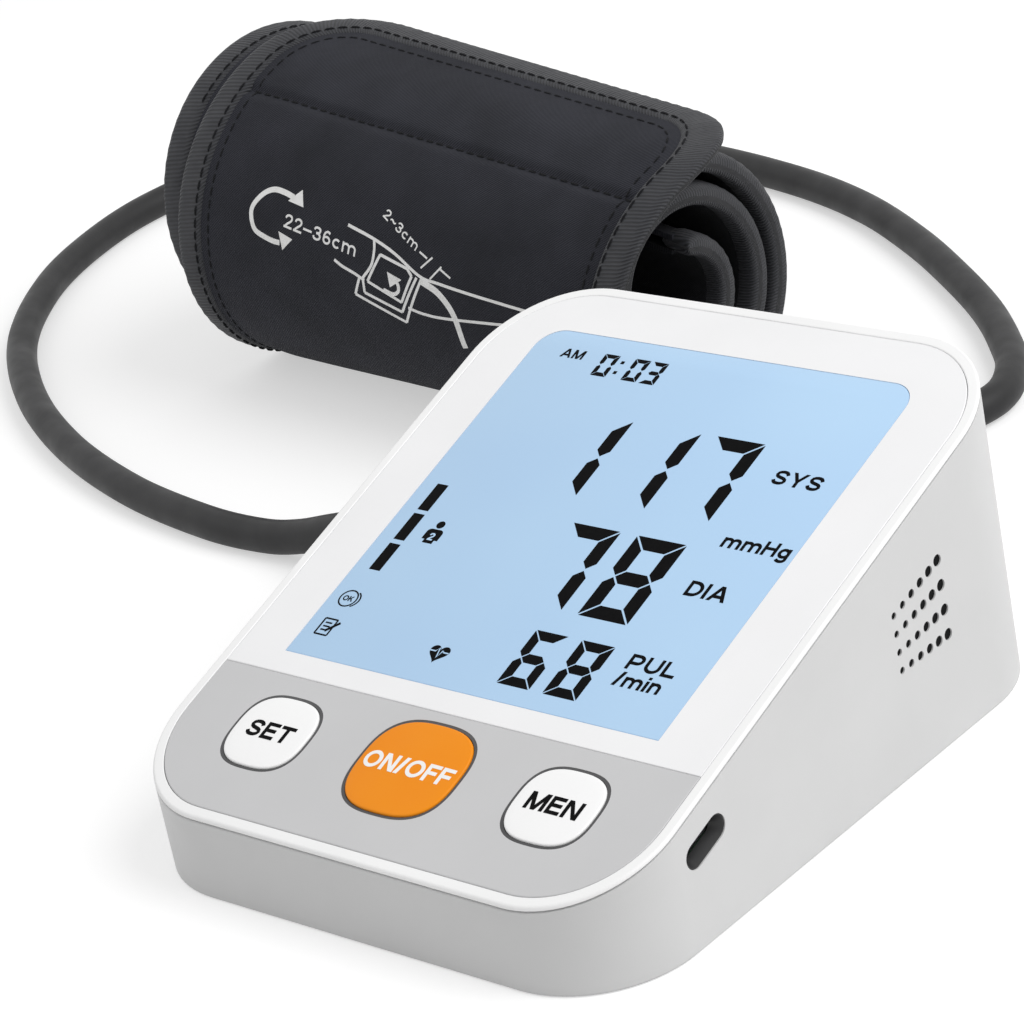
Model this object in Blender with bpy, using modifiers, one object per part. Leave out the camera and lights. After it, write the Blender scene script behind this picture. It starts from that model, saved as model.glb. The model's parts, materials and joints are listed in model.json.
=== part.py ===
"""Upper arm blood pressure monitor: wedge console, rolled arm cuff and air hose.

Units are metres, +Z up. The origin is the middle of the console's underside,
+X is to the right of the display's reader and +Y is away from the reader.
"""

import math

import bmesh
import bpy
import numpy as np
from mathutils import Matrix, Vector

MM = 0.001

# Console
CASE_WIDTH = 118 * MM
CASE_DEPTH = 136.4 * MM
FRONT_HEIGHT = 17.6 * MM
FACE_ANGLE = math.radians(18.2)
CORNER_RADIUS = 22 * MM
CORNER_STEPS = 7
WALL = 2.2 * MM
FLOOR = 2.0 * MM
BASE_CHAMFER = 0.8 * MM
GAP = 0.3 * MM

# Face stack, measured square to the face
FRAME_THICK = 4.0 * MM
LIP = 0.8 * MM
LAP = 1.0 * MM
SEAM = 0.35 * MM
RIM = 2.2 * MM
PANEL_THICK = 1.2 * MM
PANEL_SPLIT = 35.1 * MM
PANEL_GAP = 0.12 * MM

# Display window, by its margins to the face's left, right, front and rear edges
WINDOW_MARGINS = (13.6 * MM, 15.1 * MM, 40.3 * MM, 13.2 * MM)
WINDOW_RADIUS = 5.5 * MM
LEDGE = 1.2 * MM
GLASS_MARGIN = 0.9 * MM
GLASS_THICK = 2.0 * MM
BACKLIGHT_THICK = 1.6 * MM
HOLDER_THICK = 1.3 * MM
HOLDER_RIM = 6.0 * MM
ZEBRA_WIDTH = 2.4 * MM

# Buttons: name, centre x, width, height
BUTTONS = (
    ("set", -34.0 * MM, 17.6 * MM, 16.6 * MM),
    ("power", 0.0, 23.0 * MM, 21.2 * MM),
    ("memory", 34.0 * MM, 17.6 * MM, 16.6 * MM),
)
BUTTON_V = 21.6 * MM
BUTTON_PROUD = 0.8 * MM
BUTTON_EDGE = 0.55 * MM
BUTTON_POWER = 3.2
BUTTON_STEPS = 36
BUTTON_RING = 0.7 * MM
FLANGE_OUT = 1.5 * MM
FLANGE_THICK = 1.0 * MM
DOME_TOP_RADIUS = 4.0 * MM
DOME_FOOT_RADIUS = 6.2 * MM
MAT_THICK = 1.0 * MM
SWITCH = 6.0 * MM
SWITCH_HEIGHT = 1.8 * MM
SWITCH_HOLLOW = 4.5 * MM

# Main board, under the display and the keypad
BOARD_THICK = 1.6 * MM
BOARD_SIDE = 20.0 * MM
BOARD_FRONT = 8.0 * MM
BOARD_REAR = 7.2 * MM
POST_RADIUS = 2.0 * MM
FRONT_POST_X = 18.4 * MM
REAR_POST_X = 30.0 * MM
REAR_POST_EDGE = 9.6 * MM
BOARD_SCREW_RADIUS = 0.9 * MM
BOARD_SCREW_HEAD = (2.2 * MM, 1.4 * MM)

# Case screws and feet, by their distances to the side walls and to the front or rear wall
FRONT_BOSS = (12.5 * MM, 12.2 * MM)
REAR_BOSS = (8.5 * MM, 16.2 * MM)
BOSS_RADIUS = 3.0 * MM
PAD_RADIUS = 4.6 * MM
PAD_TOP = 5.0 * MM
CASE_SCREW_RADIUS = 1.3 * MM
CASE_SCREW_HEAD = (2.8 * MM, 2.0 * MM)
CASE_SCREW_REACH = 12.0 * MM
FRONT_FOOT = (29.0 * MM, 9.2 * MM)
REAR_FOOT = (11.0 * MM, 32.2 * MM)
FOOT_RADIUS = 5.0 * MM
FOOT_POCKET = 1.0 * MM

# Charging slot in the right wall, and its socket on the board
SLOT_FROM_FRONT = 29.2 * MM
SLOT_LENGTH = 11.6 * MM
SLOT_HEIGHT = 5.0 * MM
SOCKET = (7.4 * MM, 9.0 * MM, 3.2 * MM)
SOCKET_BACK = 0.8 * MM
SOCKET_MOUTH = (6.0 * MM, 8.2 * MM, 2.4 * MM)
SOCKET_ROUND = 0.4
TAB_WIDTH = 23.0 * MM

# Speaker holes: a fan of columns, with a level lower row and an upper row that climbs
HOLE_COLUMNS = 6
HOLE_ROWS = 4
HOLES_FROM_REAR = (48.6 * MM, 34.2 * MM)
HOLES_LOW_Z = 21.1 * MM
HOLES_HIGH_Z = (32.1 * MM, 36.1 * MM)
HOLE_RADIUS = (0.7 * MM, 1.15 * MM)
SPEAKER_RADIUS = 12.0 * MM
SPEAKER_THICK = 5.0 * MM
SPEAKER_DISH = 1.0 * MM

# Battery bay, to the right of the pump
CELL_RADIUS = 7.1 * MM
CELL_LENGTH = 50.0 * MM
CELL_SPACE = 0.8 * MM
CELL_COUNT = 4
CELL_NUB = (2.6 * MM, 1.2 * MM)
BAY_END = 3.0 * MM
BAY_FROM_REAR = 6.2 * MM
BAY_HEADROOM = 0.5 * MM
BAY_WALL = 1.5 * MM
BAY_FLANGE = 3.5 * MM
DOOR_LAP = 0.6 * MM
DOOR_GAP = 0.4 * MM
THUMB_RADIUS = 7.0 * MM
THUMB_DEPTH = 0.9 * MM
THUMB_INSET = 9.0 * MM
CONTACT_THICK = 0.6 * MM
CONTACT_MARGIN = 2.0 * MM
SPRING_RADIUS = (3.4 * MM, 2.0 * MM)

# Pneumatics, along the left wall
PUMP_WALL_GAP = 3.3 * MM
PUMP_FROM_REAR = 46.2 * MM
MOTOR_LENGTH = 26.0 * MM
MOTOR_RADIUS = 10.0 * MM
HEAD_SIDE = 19.0 * MM
HEAD_LENGTH = 8.6 * MM
JACK_FROM_REAR = 25.2 * MM
JACK_Z = 12.5 * MM
JACK_RADIUS = 4.5 * MM
JACK_FLANGE = (6.2 * MM, 1.0 * MM)
JACK_BORE = 2.5 * MM
JACK_REACH = 13.4 * MM
JACK_END_WALL = 2.0 * MM
MANIFOLD = (9.0 * MM, 9.6 * MM, 11.0 * MM)
TUBE_RADIUS = 2.4 * MM
SENSOR_TUBE_RADIUS = 1.7 * MM
VALVE_RADIUS = 6.0 * MM
VALVE_LENGTH = 13.0 * MM
VALVE_TUBE = 6.0 * MM
SENSOR_SIDE = 9.0 * MM
SENSOR_HEIGHT = 4.0 * MM
SENSOR_FROM_LEFT = 27.0 * MM
SENSOR_FROM_REAR = 46.0 * MM

# Air plug: nose, ribbed grip and sleeve, radius and length of each
PLUG_NOSE = (2.2 * MM, 11.5 * MM)
PLUG_GRIP = (5.5 * MM, 15.0 * MM)
PLUG_SLEEVE = (4.6 * MM, 8.0 * MM)
PLUG_RIBS = 3
PLUG_WAIST = 0.88
PLUG_CHAMFER = 1.0 * MM

# Cuff: a cloth sheet rolled on its long axis, lying on the table
CUFF_LENGTH = 134 * MM
CUFF_CENTRE = (-135.98 * MM, 131.77 * MM)
CUFF_TURN = math.radians(-6)
ROLL_RADIUS = 38.6 * MM
ROLL_SPACE = 0.9 * MM
ROLL_TURNS = 3.0
ROLL_STEPS = 30
ROLL_CONE = 3.5 * MM
INNER_DRAW = 8.0 * MM
FLAP_ANGLE = math.radians(76)
FLAP_CORNER = 22 * MM
FLAP_DROP = 1.2 * MM
FLAP_SHIFT = 24 * MM
FLAP_SKEWED = 3.1
SKEW_POWER = 1.15
FLAP_LIFT = (5.0 * MM, 1.0 * MM)
FLAP_FREE = 2.0
CORNER_CUTS = 5
BINDING_WIDTH = 8.0 * MM
CLOTH = 1.2 * MM
LINING = 1.0 * MM
BLADDER = 1.5 * MM
BLADDER_TURNS = (3.4, 15.4)
BLADDER_SIDE = 7.0 * MM
LINING_RAMP = (1.6, 3.25)
HOOK_THICK = 1.1 * MM
HOOK_TURNS = (0.35, 1.35)
HOOK_WIDTH = 84 * MM
TABLE_GAP = 0.05 * MM
PORT_RADIUS = (3.0 * MM, 3.6 * MM)
PORT_LENGTH = 9.0 * MM
PORT_LIFT = 0.1 * MM

# Hose: free route on the table from the cuff's port, then its climb to the plug
HOSE_RADIUS = 3.75 * MM
HOSE_POINTS = 66
TABLE = 0.0
HOSE_ROUTE_MM = (
    (-55.0, 123.2),
    (-43.0, 122.5),
    (-27.8, 126.6),
    (-16.6, 137.8),
    (-12.5, 152.0),
    (-17.5, 165.5),
    (-27.0, 177.0),
    (-41.0, 190.5),
    (-59.0, 204.5),
    (-80.0, 219.0),
    (-105.0, 233.0),
    (-133.0, 243.0),
    (-170.0, 250.0),
    (-210.0, 251.0),
    (-248.0, 244.0),
    (-277.0, 229.0),
    (-295.0, 207.0),
    (-301.0, 182.0),
    (-298.0, 157.0),
    (-288.0, 131.0),
    (-268.0, 103.0),
    (-240.0, 79.5),
    (-208.0, 61.5),
    (-175.0, 49.5),
    (-146.0, 43.8),
)
# Where the hose leaves the table: x, y, and the share of the climb that is done there
HOSE_CLIMB = (
    (-128.0, 43.0, 0.03),
    (-117.0, 43.0, 0.22),
    (-105.0, 43.0, 0.62),
    (-94.0, 43.0, 0.96),
    (-88.5, 43.0, 1.0),
)


def clear_scene():
    for obj in list(bpy.data.objects):
        bpy.data.objects.remove(obj, do_unlink=True)


def make_collection(name):
    collection = bpy.data.collections.new(name)
    bpy.context.scene.collection.children.link(collection)
    return collection


def make_material(name, colour, roughness=0.45, metallic=0.0):
    material = bpy.data.materials.new(name)
    material.use_nodes = True
    shader = material.node_tree.nodes["Principled BSDF"]
    shader.inputs["Base Color"].default_value = (*colour, 1.0)
    shader.inputs["Roughness"].default_value = roughness
    shader.inputs["Metallic"].default_value = metallic
    return material


clear_scene()
PARTS = make_collection("blood_pressure_monitor")
CUTTERS = make_collection("cutters")

WHITE = make_material("white_abs", (0.90, 0.90, 0.90))
WALL_GREY = make_material("light_grey_abs", (0.70, 0.70, 0.70))
PANEL_GREY = make_material("grey_panel", (0.57, 0.57, 0.57))
LCD_BLUE = make_material("lcd_blue", (0.46, 0.65, 0.86), 0.25)
GLASS = make_material("lcd_glass", (0.60, 0.70, 0.72), 0.1)
DIFFUSER = make_material("diffuser", (0.92, 0.92, 0.90), 0.5)
BUTTON_WHITE = make_material("button_white", (0.95, 0.95, 0.95), 0.4)
BUTTON_ORANGE = make_material("button_orange", (0.91, 0.30, 0.02), 0.4)
SILICONE = make_material("grey_silicone", (0.35, 0.36, 0.37), 0.6)
BOARD_GREEN = make_material("circuit_board", (0.03, 0.22, 0.10), 0.4)
BLACK_PLASTIC = make_material("black_plastic", (0.02, 0.02, 0.02), 0.4)
STEEL = make_material("steel", (0.62, 0.62, 0.63), 0.3, 1.0)
TUBE_CLEAR = make_material("silicone_tube", (0.75, 0.76, 0.74), 0.4)
CELL_SKIN = make_material("cell_sleeve", (0.10, 0.28, 0.16), 0.35)
RUBBER = make_material("rubber", (0.05, 0.05, 0.05), 0.8)
NYLON = make_material("black_nylon", (0.035, 0.036, 0.040), 0.85)
TAPE = make_material("binding_tape", (0.045, 0.046, 0.050), 0.8)
TPU = make_material("bladder_film", (0.55, 0.56, 0.58), 0.4)
HOSE_BLACK = make_material("hose_rubber", (0.045, 0.045, 0.045), 0.55)

# Places worked out from the driving sizes
FACE = Matrix.Translation((0, -CASE_DEPTH / 2, FRONT_HEIGHT)) @ Matrix.Rotation(FACE_ANGLE, 4, "X")
FACE_UP = FACE.to_3x3() @ Vector((0, 1, 0))
FACE_OUT = FACE.to_3x3() @ Vector((0, 0, 1))
FACE_LENGTH = CASE_DEPTH / math.cos(FACE_ANGLE)
TALL = FRONT_HEIGHT + CASE_DEPTH
LEFT_WALL = -CASE_WIDTH / 2
RIGHT_WALL = CASE_WIDTH / 2
BOARD_WIDTH = CASE_WIDTH - 2 * BOARD_SIDE
REAR_WALL = CASE_DEPTH / 2

WINDOW_X = (LEFT_WALL + WINDOW_MARGINS[0], RIGHT_WALL - WINDOW_MARGINS[1])
WINDOW_V = (WINDOW_MARGINS[2], FACE_LENGTH - WINDOW_MARGINS[3])
FLANGE_DEPTH = FRAME_THICK + GAP
FLANGE_BOTTOM = FLANGE_DEPTH + FLANGE_THICK
GLASS_DEPTH = FRAME_THICK + GAP
BACKLIGHT_DEPTH = GLASS_DEPTH + GLASS_THICK + GAP
HOLDER_DEPTH = BACKLIGHT_DEPTH + BACKLIGHT_THICK + GAP
BOARD_SEAT = HOLDER_DEPTH + HOLDER_THICK
BOARD_TOP = BOARD_SEAT + GAP
BOARD_BOTTOM = BOARD_TOP + BOARD_THICK
POSTS = (
    (-FRONT_POST_X, BUTTON_V),
    (FRONT_POST_X, BUTTON_V),
    (-REAR_POST_X, FACE_LENGTH - REAR_POST_EDGE),
    (REAR_POST_X, FACE_LENGTH - REAR_POST_EDGE),
)


def four_places(front, rear):
    """Two places by the front wall and two by the rear one, from their distances to the walls."""
    places = []
    for inset, way in ((front, -1), (rear, 1)):
        for side in (-1, 1):
            places.append((side * (RIGHT_WALL - inset[0]), way * (REAR_WALL - inset[1])))
    return places


BOSSES = four_places(FRONT_BOSS, REAR_BOSS)
FEET = four_places(FRONT_FOOT, REAR_FOOT)

SLOT_Y = SLOT_FROM_FRONT - CASE_DEPTH / 2
SLOT_DEPTH = BOARD_SEAT - SOCKET[2] / 2
SLOT_Z = FRONT_HEIGHT + SLOT_FROM_FRONT * math.tan(FACE_ANGLE) - SLOT_DEPTH / math.cos(FACE_ANGLE)
HOLES_Y = tuple(REAR_WALL - distance for distance in HOLES_FROM_REAR)

PUMP_X = LEFT_WALL + WALL + PUMP_WALL_GAP + MOTOR_RADIUS
PUMP_Z = FLOOR + GAP + MOTOR_RADIUS
MOTOR_END = REAR_WALL - PUMP_FROM_REAR
JACK_Y = REAR_WALL - JACK_FROM_REAR
JACK_END = LEFT_WALL + JACK_REACH
SENSOR_X = LEFT_WALL + SENSOR_FROM_LEFT

CELL_PITCH = 2 * CELL_RADIUS + CELL_SPACE
CELL_Z = FLOOR + GAP + CELL_RADIUS
BAY_WIDTH = CELL_COUNT * CELL_PITCH
BAY_DEPTH = CELL_LENGTH + 2 * BAY_END
BAY_LEFT = PUMP_X + MOTOR_RADIUS + BAY_FLANGE + BAY_WALL + 2 * GAP
BAY_CENTRE = (BAY_LEFT + BAY_WIDTH / 2, REAR_WALL - BAY_FROM_REAR - BAY_DEPTH / 2)
BAY_ROOF = CELL_Z + CELL_RADIUS + BAY_HEADROOM
DOOR_SIZE = (BAY_WIDTH + 2 * DOOR_LAP, BAY_DEPTH + 2 * DOOR_LAP)
OPENING_SIZE = (DOOR_SIZE[0] + 2 * DOOR_GAP, DOOR_SIZE[1] + 2 * DOOR_GAP)

PLUG_FACE = LEFT_WALL - 2 * GAP - JACK_FLANGE[1]
PLUG_TAIL = PLUG_FACE - PLUG_GRIP[1] - PLUG_SLEEVE[1]


def make_empty(name, place):
    empty = bpy.data.objects.new(name, None)
    empty.matrix_world = place
    PARTS.objects.link(empty)
    return empty


# The face's own frame: x to the right, y up the slope, z out of the face
FACE_PLANE = make_empty("face_plane", FACE)


def add_object(obj, material, parent, location):
    """Puts an object in the parts or, with no material, in the cutters."""
    if material is None:
        CUTTERS.objects.link(obj)
        obj.hide_render = True
        obj.display_type = "WIRE"
    else:
        PARTS.objects.link(obj)
        obj.data.materials.append(material)
    obj.parent = parent
    obj.location = location
    return obj


def add_mesh(name, bm, material=None, parent=None, location=(0, 0, 0)):
    """The bmesh as a named object, with round stretches shaded smooth."""
    bmesh.ops.recalc_face_normals(bm, faces=bm.faces)
    if bm.calc_volume(signed=True) < 0:
        bmesh.ops.reverse_faces(bm, faces=bm.faces)
    mesh = bpy.data.meshes.new(name)
    bm.to_mesh(mesh)
    bm.free()
    mesh.shade_smooth()
    mesh.set_sharp_from_angle(angle=math.radians(32))
    return add_object(bpy.data.objects.new(name, mesh), material, parent, location)


def boolean(obj, other, operation="DIFFERENCE"):
    modifier = obj.modifiers.new(operation.lower(), "BOOLEAN")
    modifier.operation = operation
    modifier.object = other


def rounded_rectangle(width, depth, radius, steps=CORNER_STEPS):
    """Outline points of a rectangle with round corners, anticlockwise."""
    points = []
    for quarter in range(4):
        sign_x = 1 if quarter in (0, 3) else -1
        sign_y = 1 if quarter in (0, 1) else -1
        centre_x = sign_x * (width / 2 - radius)
        centre_y = sign_y * (depth / 2 - radius)
        for step in range(steps + 1):
            angle = math.pi / 2 * (quarter + step / steps)
            points.append((centre_x + radius * math.cos(angle), centre_y + radius * math.sin(angle)))
    return points


def squircle(width, height):
    """Outline of a soft rectangle: |x|^power + |y|^power = 1, scaled to its two sizes."""
    points = []
    for step in range(BUTTON_STEPS):
        angle = 2 * math.pi * step / BUTTON_STEPS
        c = math.cos(angle)
        s = math.sin(angle)
        reach = (abs(c) ** BUTTON_POWER + abs(s) ** BUTTON_POWER) ** (-1 / BUTTON_POWER)
        points.append((width / 2 * c * reach, height / 2 * s * reach))
    return points


def window_outline(grow):
    """Display window with square lower corners and round upper ones, grown by a margin."""
    left = WINDOW_X[0] - grow
    right = WINDOW_X[1] + grow
    low = WINDOW_V[0] - grow
    high = WINDOW_V[1] + grow
    radius = WINDOW_RADIUS + grow
    points = [(left, low), (right, low)]
    for side, start in ((right - radius, 0), (left + radius, 90)):
        for step in range(CORNER_STEPS):
            angle = math.radians(start + 90 * step / (CORNER_STEPS - 1))
            points.append((side + radius * math.cos(angle), high - radius + radius * math.sin(angle)))
    return points


def prism(outline, low, high):
    """A flat outline pulled up from one height to another."""
    bm = bmesh.new()
    face = bm.faces.new([bm.verts.new((x, y, low)) for x, y in outline])
    pulled = bmesh.ops.extrude_face_region(bm, geom=[face])["geom"]
    verts = [v for v in pulled if isinstance(v, bmesh.types.BMVert)]
    bmesh.ops.translate(bm, vec=(0, 0, high - low), verts=verts)
    return bm


def plate(x_range, y_range, low, high):
    """A box between two values on each axis."""
    bm = bmesh.new()
    bmesh.ops.create_cube(bm, size=1.0)
    spans = (x_range, y_range, (low, high))
    size = [span[1] - span[0] for span in spans]
    centre = [(span[0] + span[1]) / 2 for span in spans]
    bm.transform(Matrix.Translation(centre) @ Matrix.Diagonal((*size, 1.0)))
    return bm


def box(size, centre):
    spans = [(middle - length / 2, middle + length / 2) for length, middle in zip(size, centre)]
    return plate(spans[0], spans[1], *spans[2])


def cylinder(radius, low, high, centre=(0, 0), sides=24, top_radius=None):
    """A round post along +Z between two heights, tapered if it has a top radius."""
    bm = bmesh.new()
    upper = radius if top_radius is None else top_radius
    bmesh.ops.create_cone(
        bm, cap_ends=True, segments=sides, radius1=radius, radius2=upper, depth=high - low
    )
    bm.transform(Matrix.Translation((*centre, (low + high) / 2)))
    return bm


def placed(bm, matrix):
    bm.transform(matrix)
    return bm


def merged(pieces):
    """Separate closed shapes in one mesh, for a cutter with many holes."""
    bm = bmesh.new()
    for piece in pieces:
        mesh = bpy.data.meshes.new("piece")
        piece.to_mesh(mesh)
        piece.free()
        bm.from_mesh(mesh)
        bpy.data.meshes.remove(mesh)
    return bm


def keep_below(bm, point, normal):
    """Cuts away what lies beyond a plane, on its normal's side, and closes the cut."""
    geom = bm.verts[:] + bm.edges[:] + bm.faces[:]
    cut = bmesh.ops.bisect_plane(bm, geom=geom, plane_co=point, plane_no=normal, clear_outer=True)
    edges = [e for e in cut["geom_cut"] if isinstance(e, bmesh.types.BMEdge)]
    bmesh.ops.contextual_create(bm, geom=edges)
    return bm


def under_face(depth):
    return FACE @ Vector((0, 0, -depth))


def turned(name, profile, place, material, sides=24, parent=None):
    """A turned piece: (radius, height) points from top to bottom, spun about its own Z."""
    mesh = bpy.data.meshes.new(name)
    points = [(radius, 0, height) for radius, height in profile]
    mesh.from_pydata(points, [(i, i + 1) for i in range(len(points) - 1)], [])
    obj = add_object(bpy.data.objects.new(name, mesh), material, parent, (0, 0, 0))
    obj.matrix_local = place
    screw = obj.modifiers.new("turn", "SCREW")
    screw.steps = sides
    screw.render_steps = sides
    screw.use_merge_vertices = True
    screw.merge_threshold = 0.00001
    screw.use_smooth_shade = True
    return obj


def tube(name, points, radius, material, resolution=3):
    """A round tube along a list of points, with closed ends."""
    curve = bpy.data.curves.new(name, "CURVE")
    curve.dimensions = "3D"
    curve.bevel_depth = radius
    curve.bevel_resolution = resolution
    curve.use_fill_caps = True
    spline = curve.splines.new("POLY")
    spline.points.add(len(points) - 1)
    for target, point in zip(spline.points, points):
        target.co = (*point, 1.0)
    return add_object(bpy.data.objects.new(name, curve), material, None, (0, 0, 0))


def smooth_route(points, count):
    """Evenly spaced points on a Catmull-Rom curve through the route's own points."""
    route = np.array(points, float)
    padded = np.vstack([2 * route[0] - route[1], route, 2 * route[-1] - route[-2]])
    share = np.linspace(0, 1, 24, endpoint=False)[:, None]
    pieces = []
    for a, b, c, d in zip(padded, padded[1:], padded[2:], padded[3:]):
        bend = 2 * a - 5 * b + 4 * c - d
        twist = -a + 3 * b - 3 * c + d
        pieces.append(0.5 * (2 * b + (c - a) * share + bend * share**2 + twist * share**3))
    fine = np.vstack([*pieces, route[-1:]])
    run = np.concatenate([[0], np.cumsum(np.linalg.norm(np.diff(fine, axis=0), axis=1))])
    at = np.linspace(0, run[-1], count)
    return np.stack([np.interp(at, run, fine[:, axis]) for axis in range(3)], axis=1)


def inset_outline(inset):
    return rounded_rectangle(CASE_WIDTH - 2 * inset, CASE_DEPTH - 2 * inset, CORNER_RADIUS - inset)


def upright_slab(inset, shallow, deep):
    """The case's plan outline, inset, between two depths under the face."""
    bm = prism(inset_outline(inset), -TALL, TALL)
    keep_below(bm, under_face(shallow), FACE_OUT)
    keep_below(bm, under_face(deep), -FACE_OUT)
    return bm


def wall_frame(y, z, tilt=0.0):
    """Frame on the right wall: first axis along the wall, third axis out of it."""
    axes = Matrix.Rotation(math.pi / 2, 4, "Z") @ Matrix.Rotation(math.pi / 2, 4, "X")
    return Matrix.Translation((RIGHT_WALL, y, z)) @ axes @ Matrix.Rotation(tilt, 4, "Z")


def along_x(x, y, z, way=1):
    """Frame whose third axis points along X, for pieces on the hose's line."""
    return Matrix.Translation((x, y, z)) @ Matrix.Rotation(way * math.pi / 2, 4, "Y")


def speaker_holes():
    """Round holes in columns that grow towards the back and fan up from a level lowest row."""
    pieces = []
    for column in range(HOLE_COLUMNS):
        share = column / (HOLE_COLUMNS - 1)
        y = HOLES_Y[0] + share * (HOLES_Y[1] - HOLES_Y[0])
        high = HOLES_HIGH_Z[0] + share * (HOLES_HIGH_Z[1] - HOLES_HIGH_Z[0])
        radius = HOLE_RADIUS[0] + share * (HOLE_RADIUS[1] - HOLE_RADIUS[0])
        for row in range(HOLE_ROWS):
            z = HOLES_LOW_Z + row / (HOLE_ROWS - 1) * (high - HOLES_LOW_Z)
            pieces.append(placed(cylinder(radius, -2 * WALL, WALL, sides=10), wall_frame(y, z)))
    return pieces


def lower_case():
    """Tub with a floor, upright walls that thin at the top to lap over the lid, and all holes."""
    bm = prism(inset_outline(0), 0, TALL)
    rim = [e for e in bm.edges if all(v.co.z < BASE_CHAMFER / 2 for v in e.verts)]
    bmesh.ops.bevel(bm, geom=rim, offset=BASE_CHAMFER, segments=2, profile=0.5, affect="EDGES")
    keep_below(bm, under_face(LIP + SEAM), FACE_OUT)
    case = add_mesh("lower_case", bm, WALL_GREY)
    boolean(case, add_mesh("cut_inside", prism(inset_outline(WALL), FLOOR, 2 * TALL)))
    boolean(case, add_mesh("cut_lap", upright_slab(LAP, -FRAME_THICK, FRAME_THICK + SEAM)))
    for index, place in enumerate(BOSSES):
        pad = cylinder(PAD_RADIUS, FLOOR / 2, PAD_TOP, place)
        boolean(case, add_mesh(f"join_pad_{index}", pad), "UNION")
    holes = [box((*OPENING_SIZE, 4 * FLOOR), (*BAY_CENTRE, 0)), *speaker_holes()]
    for place in BOSSES:
        holes.append(cylinder(CASE_SCREW_RADIUS + GAP, -FLOOR, 2 * PAD_TOP, place))
    for place in FEET:
        holes.append(cylinder(FOOT_RADIUS + GAP, -FLOOR, FOOT_POCKET, place))
    jack = cylinder(JACK_RADIUS + GAP, -2 * WALL, WALL)
    holes.append(placed(jack, along_x(LEFT_WALL, JACK_Y, JACK_Z, -1)))
    slot_radius = SLOT_HEIGHT / 2 - 0.01 * MM
    slot = prism(rounded_rectangle(SLOT_LENGTH, SLOT_HEIGHT, slot_radius), -2 * WALL, WALL)
    holes.append(placed(slot, wall_frame(SLOT_Y, SLOT_Z, FACE_ANGLE)))
    boolean(case, add_mesh("cut_holes", merged(holes)))
    head_seat = PAD_TOP - CASE_SCREW_HEAD[1]
    heads = [cylinder(CASE_SCREW_HEAD[0] + GAP, -FLOOR, head_seat, place) for place in BOSSES]
    boolean(case, add_mesh("cut_screw_heads", merged(heads)))


def button_holes():
    """Openings for the three buttons, in the face's frame, with the ring gap round each."""
    pieces = []
    for _, x, width, height in BUTTONS:
        outline = squircle(width + 2 * BUTTON_RING, height + 2 * BUTTON_RING)
        hole = prism(outline, -2 * FRAME_THICK, FRAME_THICK)
        pieces.append(placed(hole, Matrix.Translation((x, BUTTON_V, 0))))
    return pieces


def face_frame():
    """White lid: a lip on the walls, a body inside them, a deck for the panels, and posts for screws."""
    frame = add_mesh("face_frame", upright_slab(0, 0, LIP), WHITE)
    body = upright_slab(LAP + GAP, LIP / 2, FRAME_THICK)
    boolean(frame, add_mesh("join_body", body), "UNION")
    recess = upright_slab(RIM, -FRAME_THICK, PANEL_THICK + PANEL_GAP)
    boolean(frame, add_mesh("cut_recess", recess))
    inside_deck = (PANEL_THICK + FRAME_THICK) / 2
    for index, place in enumerate(BOSSES):
        boss = cylinder(BOSS_RADIUS, PAD_TOP + GAP, TALL, place)
        keep_below(boss, under_face(inside_deck), FACE_OUT)
        boolean(frame, add_mesh(f"join_boss_{index}", boss), "UNION")
    for index, place in enumerate(POSTS):
        post = cylinder(POST_RADIUS, -BOARD_SEAT, -inside_deck, place, 16)
        boolean(frame, add_mesh(f"join_post_{index}", post, parent=FACE_PLANE), "UNION")
    holes = button_holes()
    holes.append(prism(window_outline(-LEDGE), -2 * FRAME_THICK, FRAME_THICK))
    for place in POSTS:
        holes.append(cylinder(BOARD_SCREW_RADIUS + GAP, -2 * BOARD_SEAT, -FRAME_THICK, place, 10))
    boolean(frame, add_mesh("cut_frame_holes", merged(holes), parent=FACE_PLANE))
    reach = CASE_SCREW_REACH + GAP
    pilots = [cylinder(CASE_SCREW_RADIUS + GAP, 0, reach, place, 12) for place in BOSSES]
    boolean(frame, add_mesh("cut_boss_pilots", merged(pilots)))


def face_panels():
    """White display panel with its window, and grey button panel, side by side in the recess."""
    inset = RIM + PANEL_GAP
    split = FACE @ Vector((0, PANEL_SPLIT, 0))
    white = upright_slab(inset, 0, PANEL_THICK)
    keep_below(white, split + FACE_UP * PANEL_GAP / 2, -FACE_UP)
    display = add_mesh("display_panel", white, WHITE)
    window = prism(window_outline(PANEL_GAP), -FRAME_THICK, FRAME_THICK)
    boolean(display, add_mesh("cut_window", window, parent=FACE_PLANE))
    grey = upright_slab(inset, 0, PANEL_THICK)
    keep_below(grey, split - FACE_UP * PANEL_GAP / 2, FACE_UP)
    buttons = add_mesh("button_panel", grey, PANEL_GREY)
    boolean(buttons, add_mesh("cut_button_holes", merged(button_holes()), parent=FACE_PLANE))


def face_piece(name, bm, material):
    return add_mesh(name, bm, material, FACE_PLANE)


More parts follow.
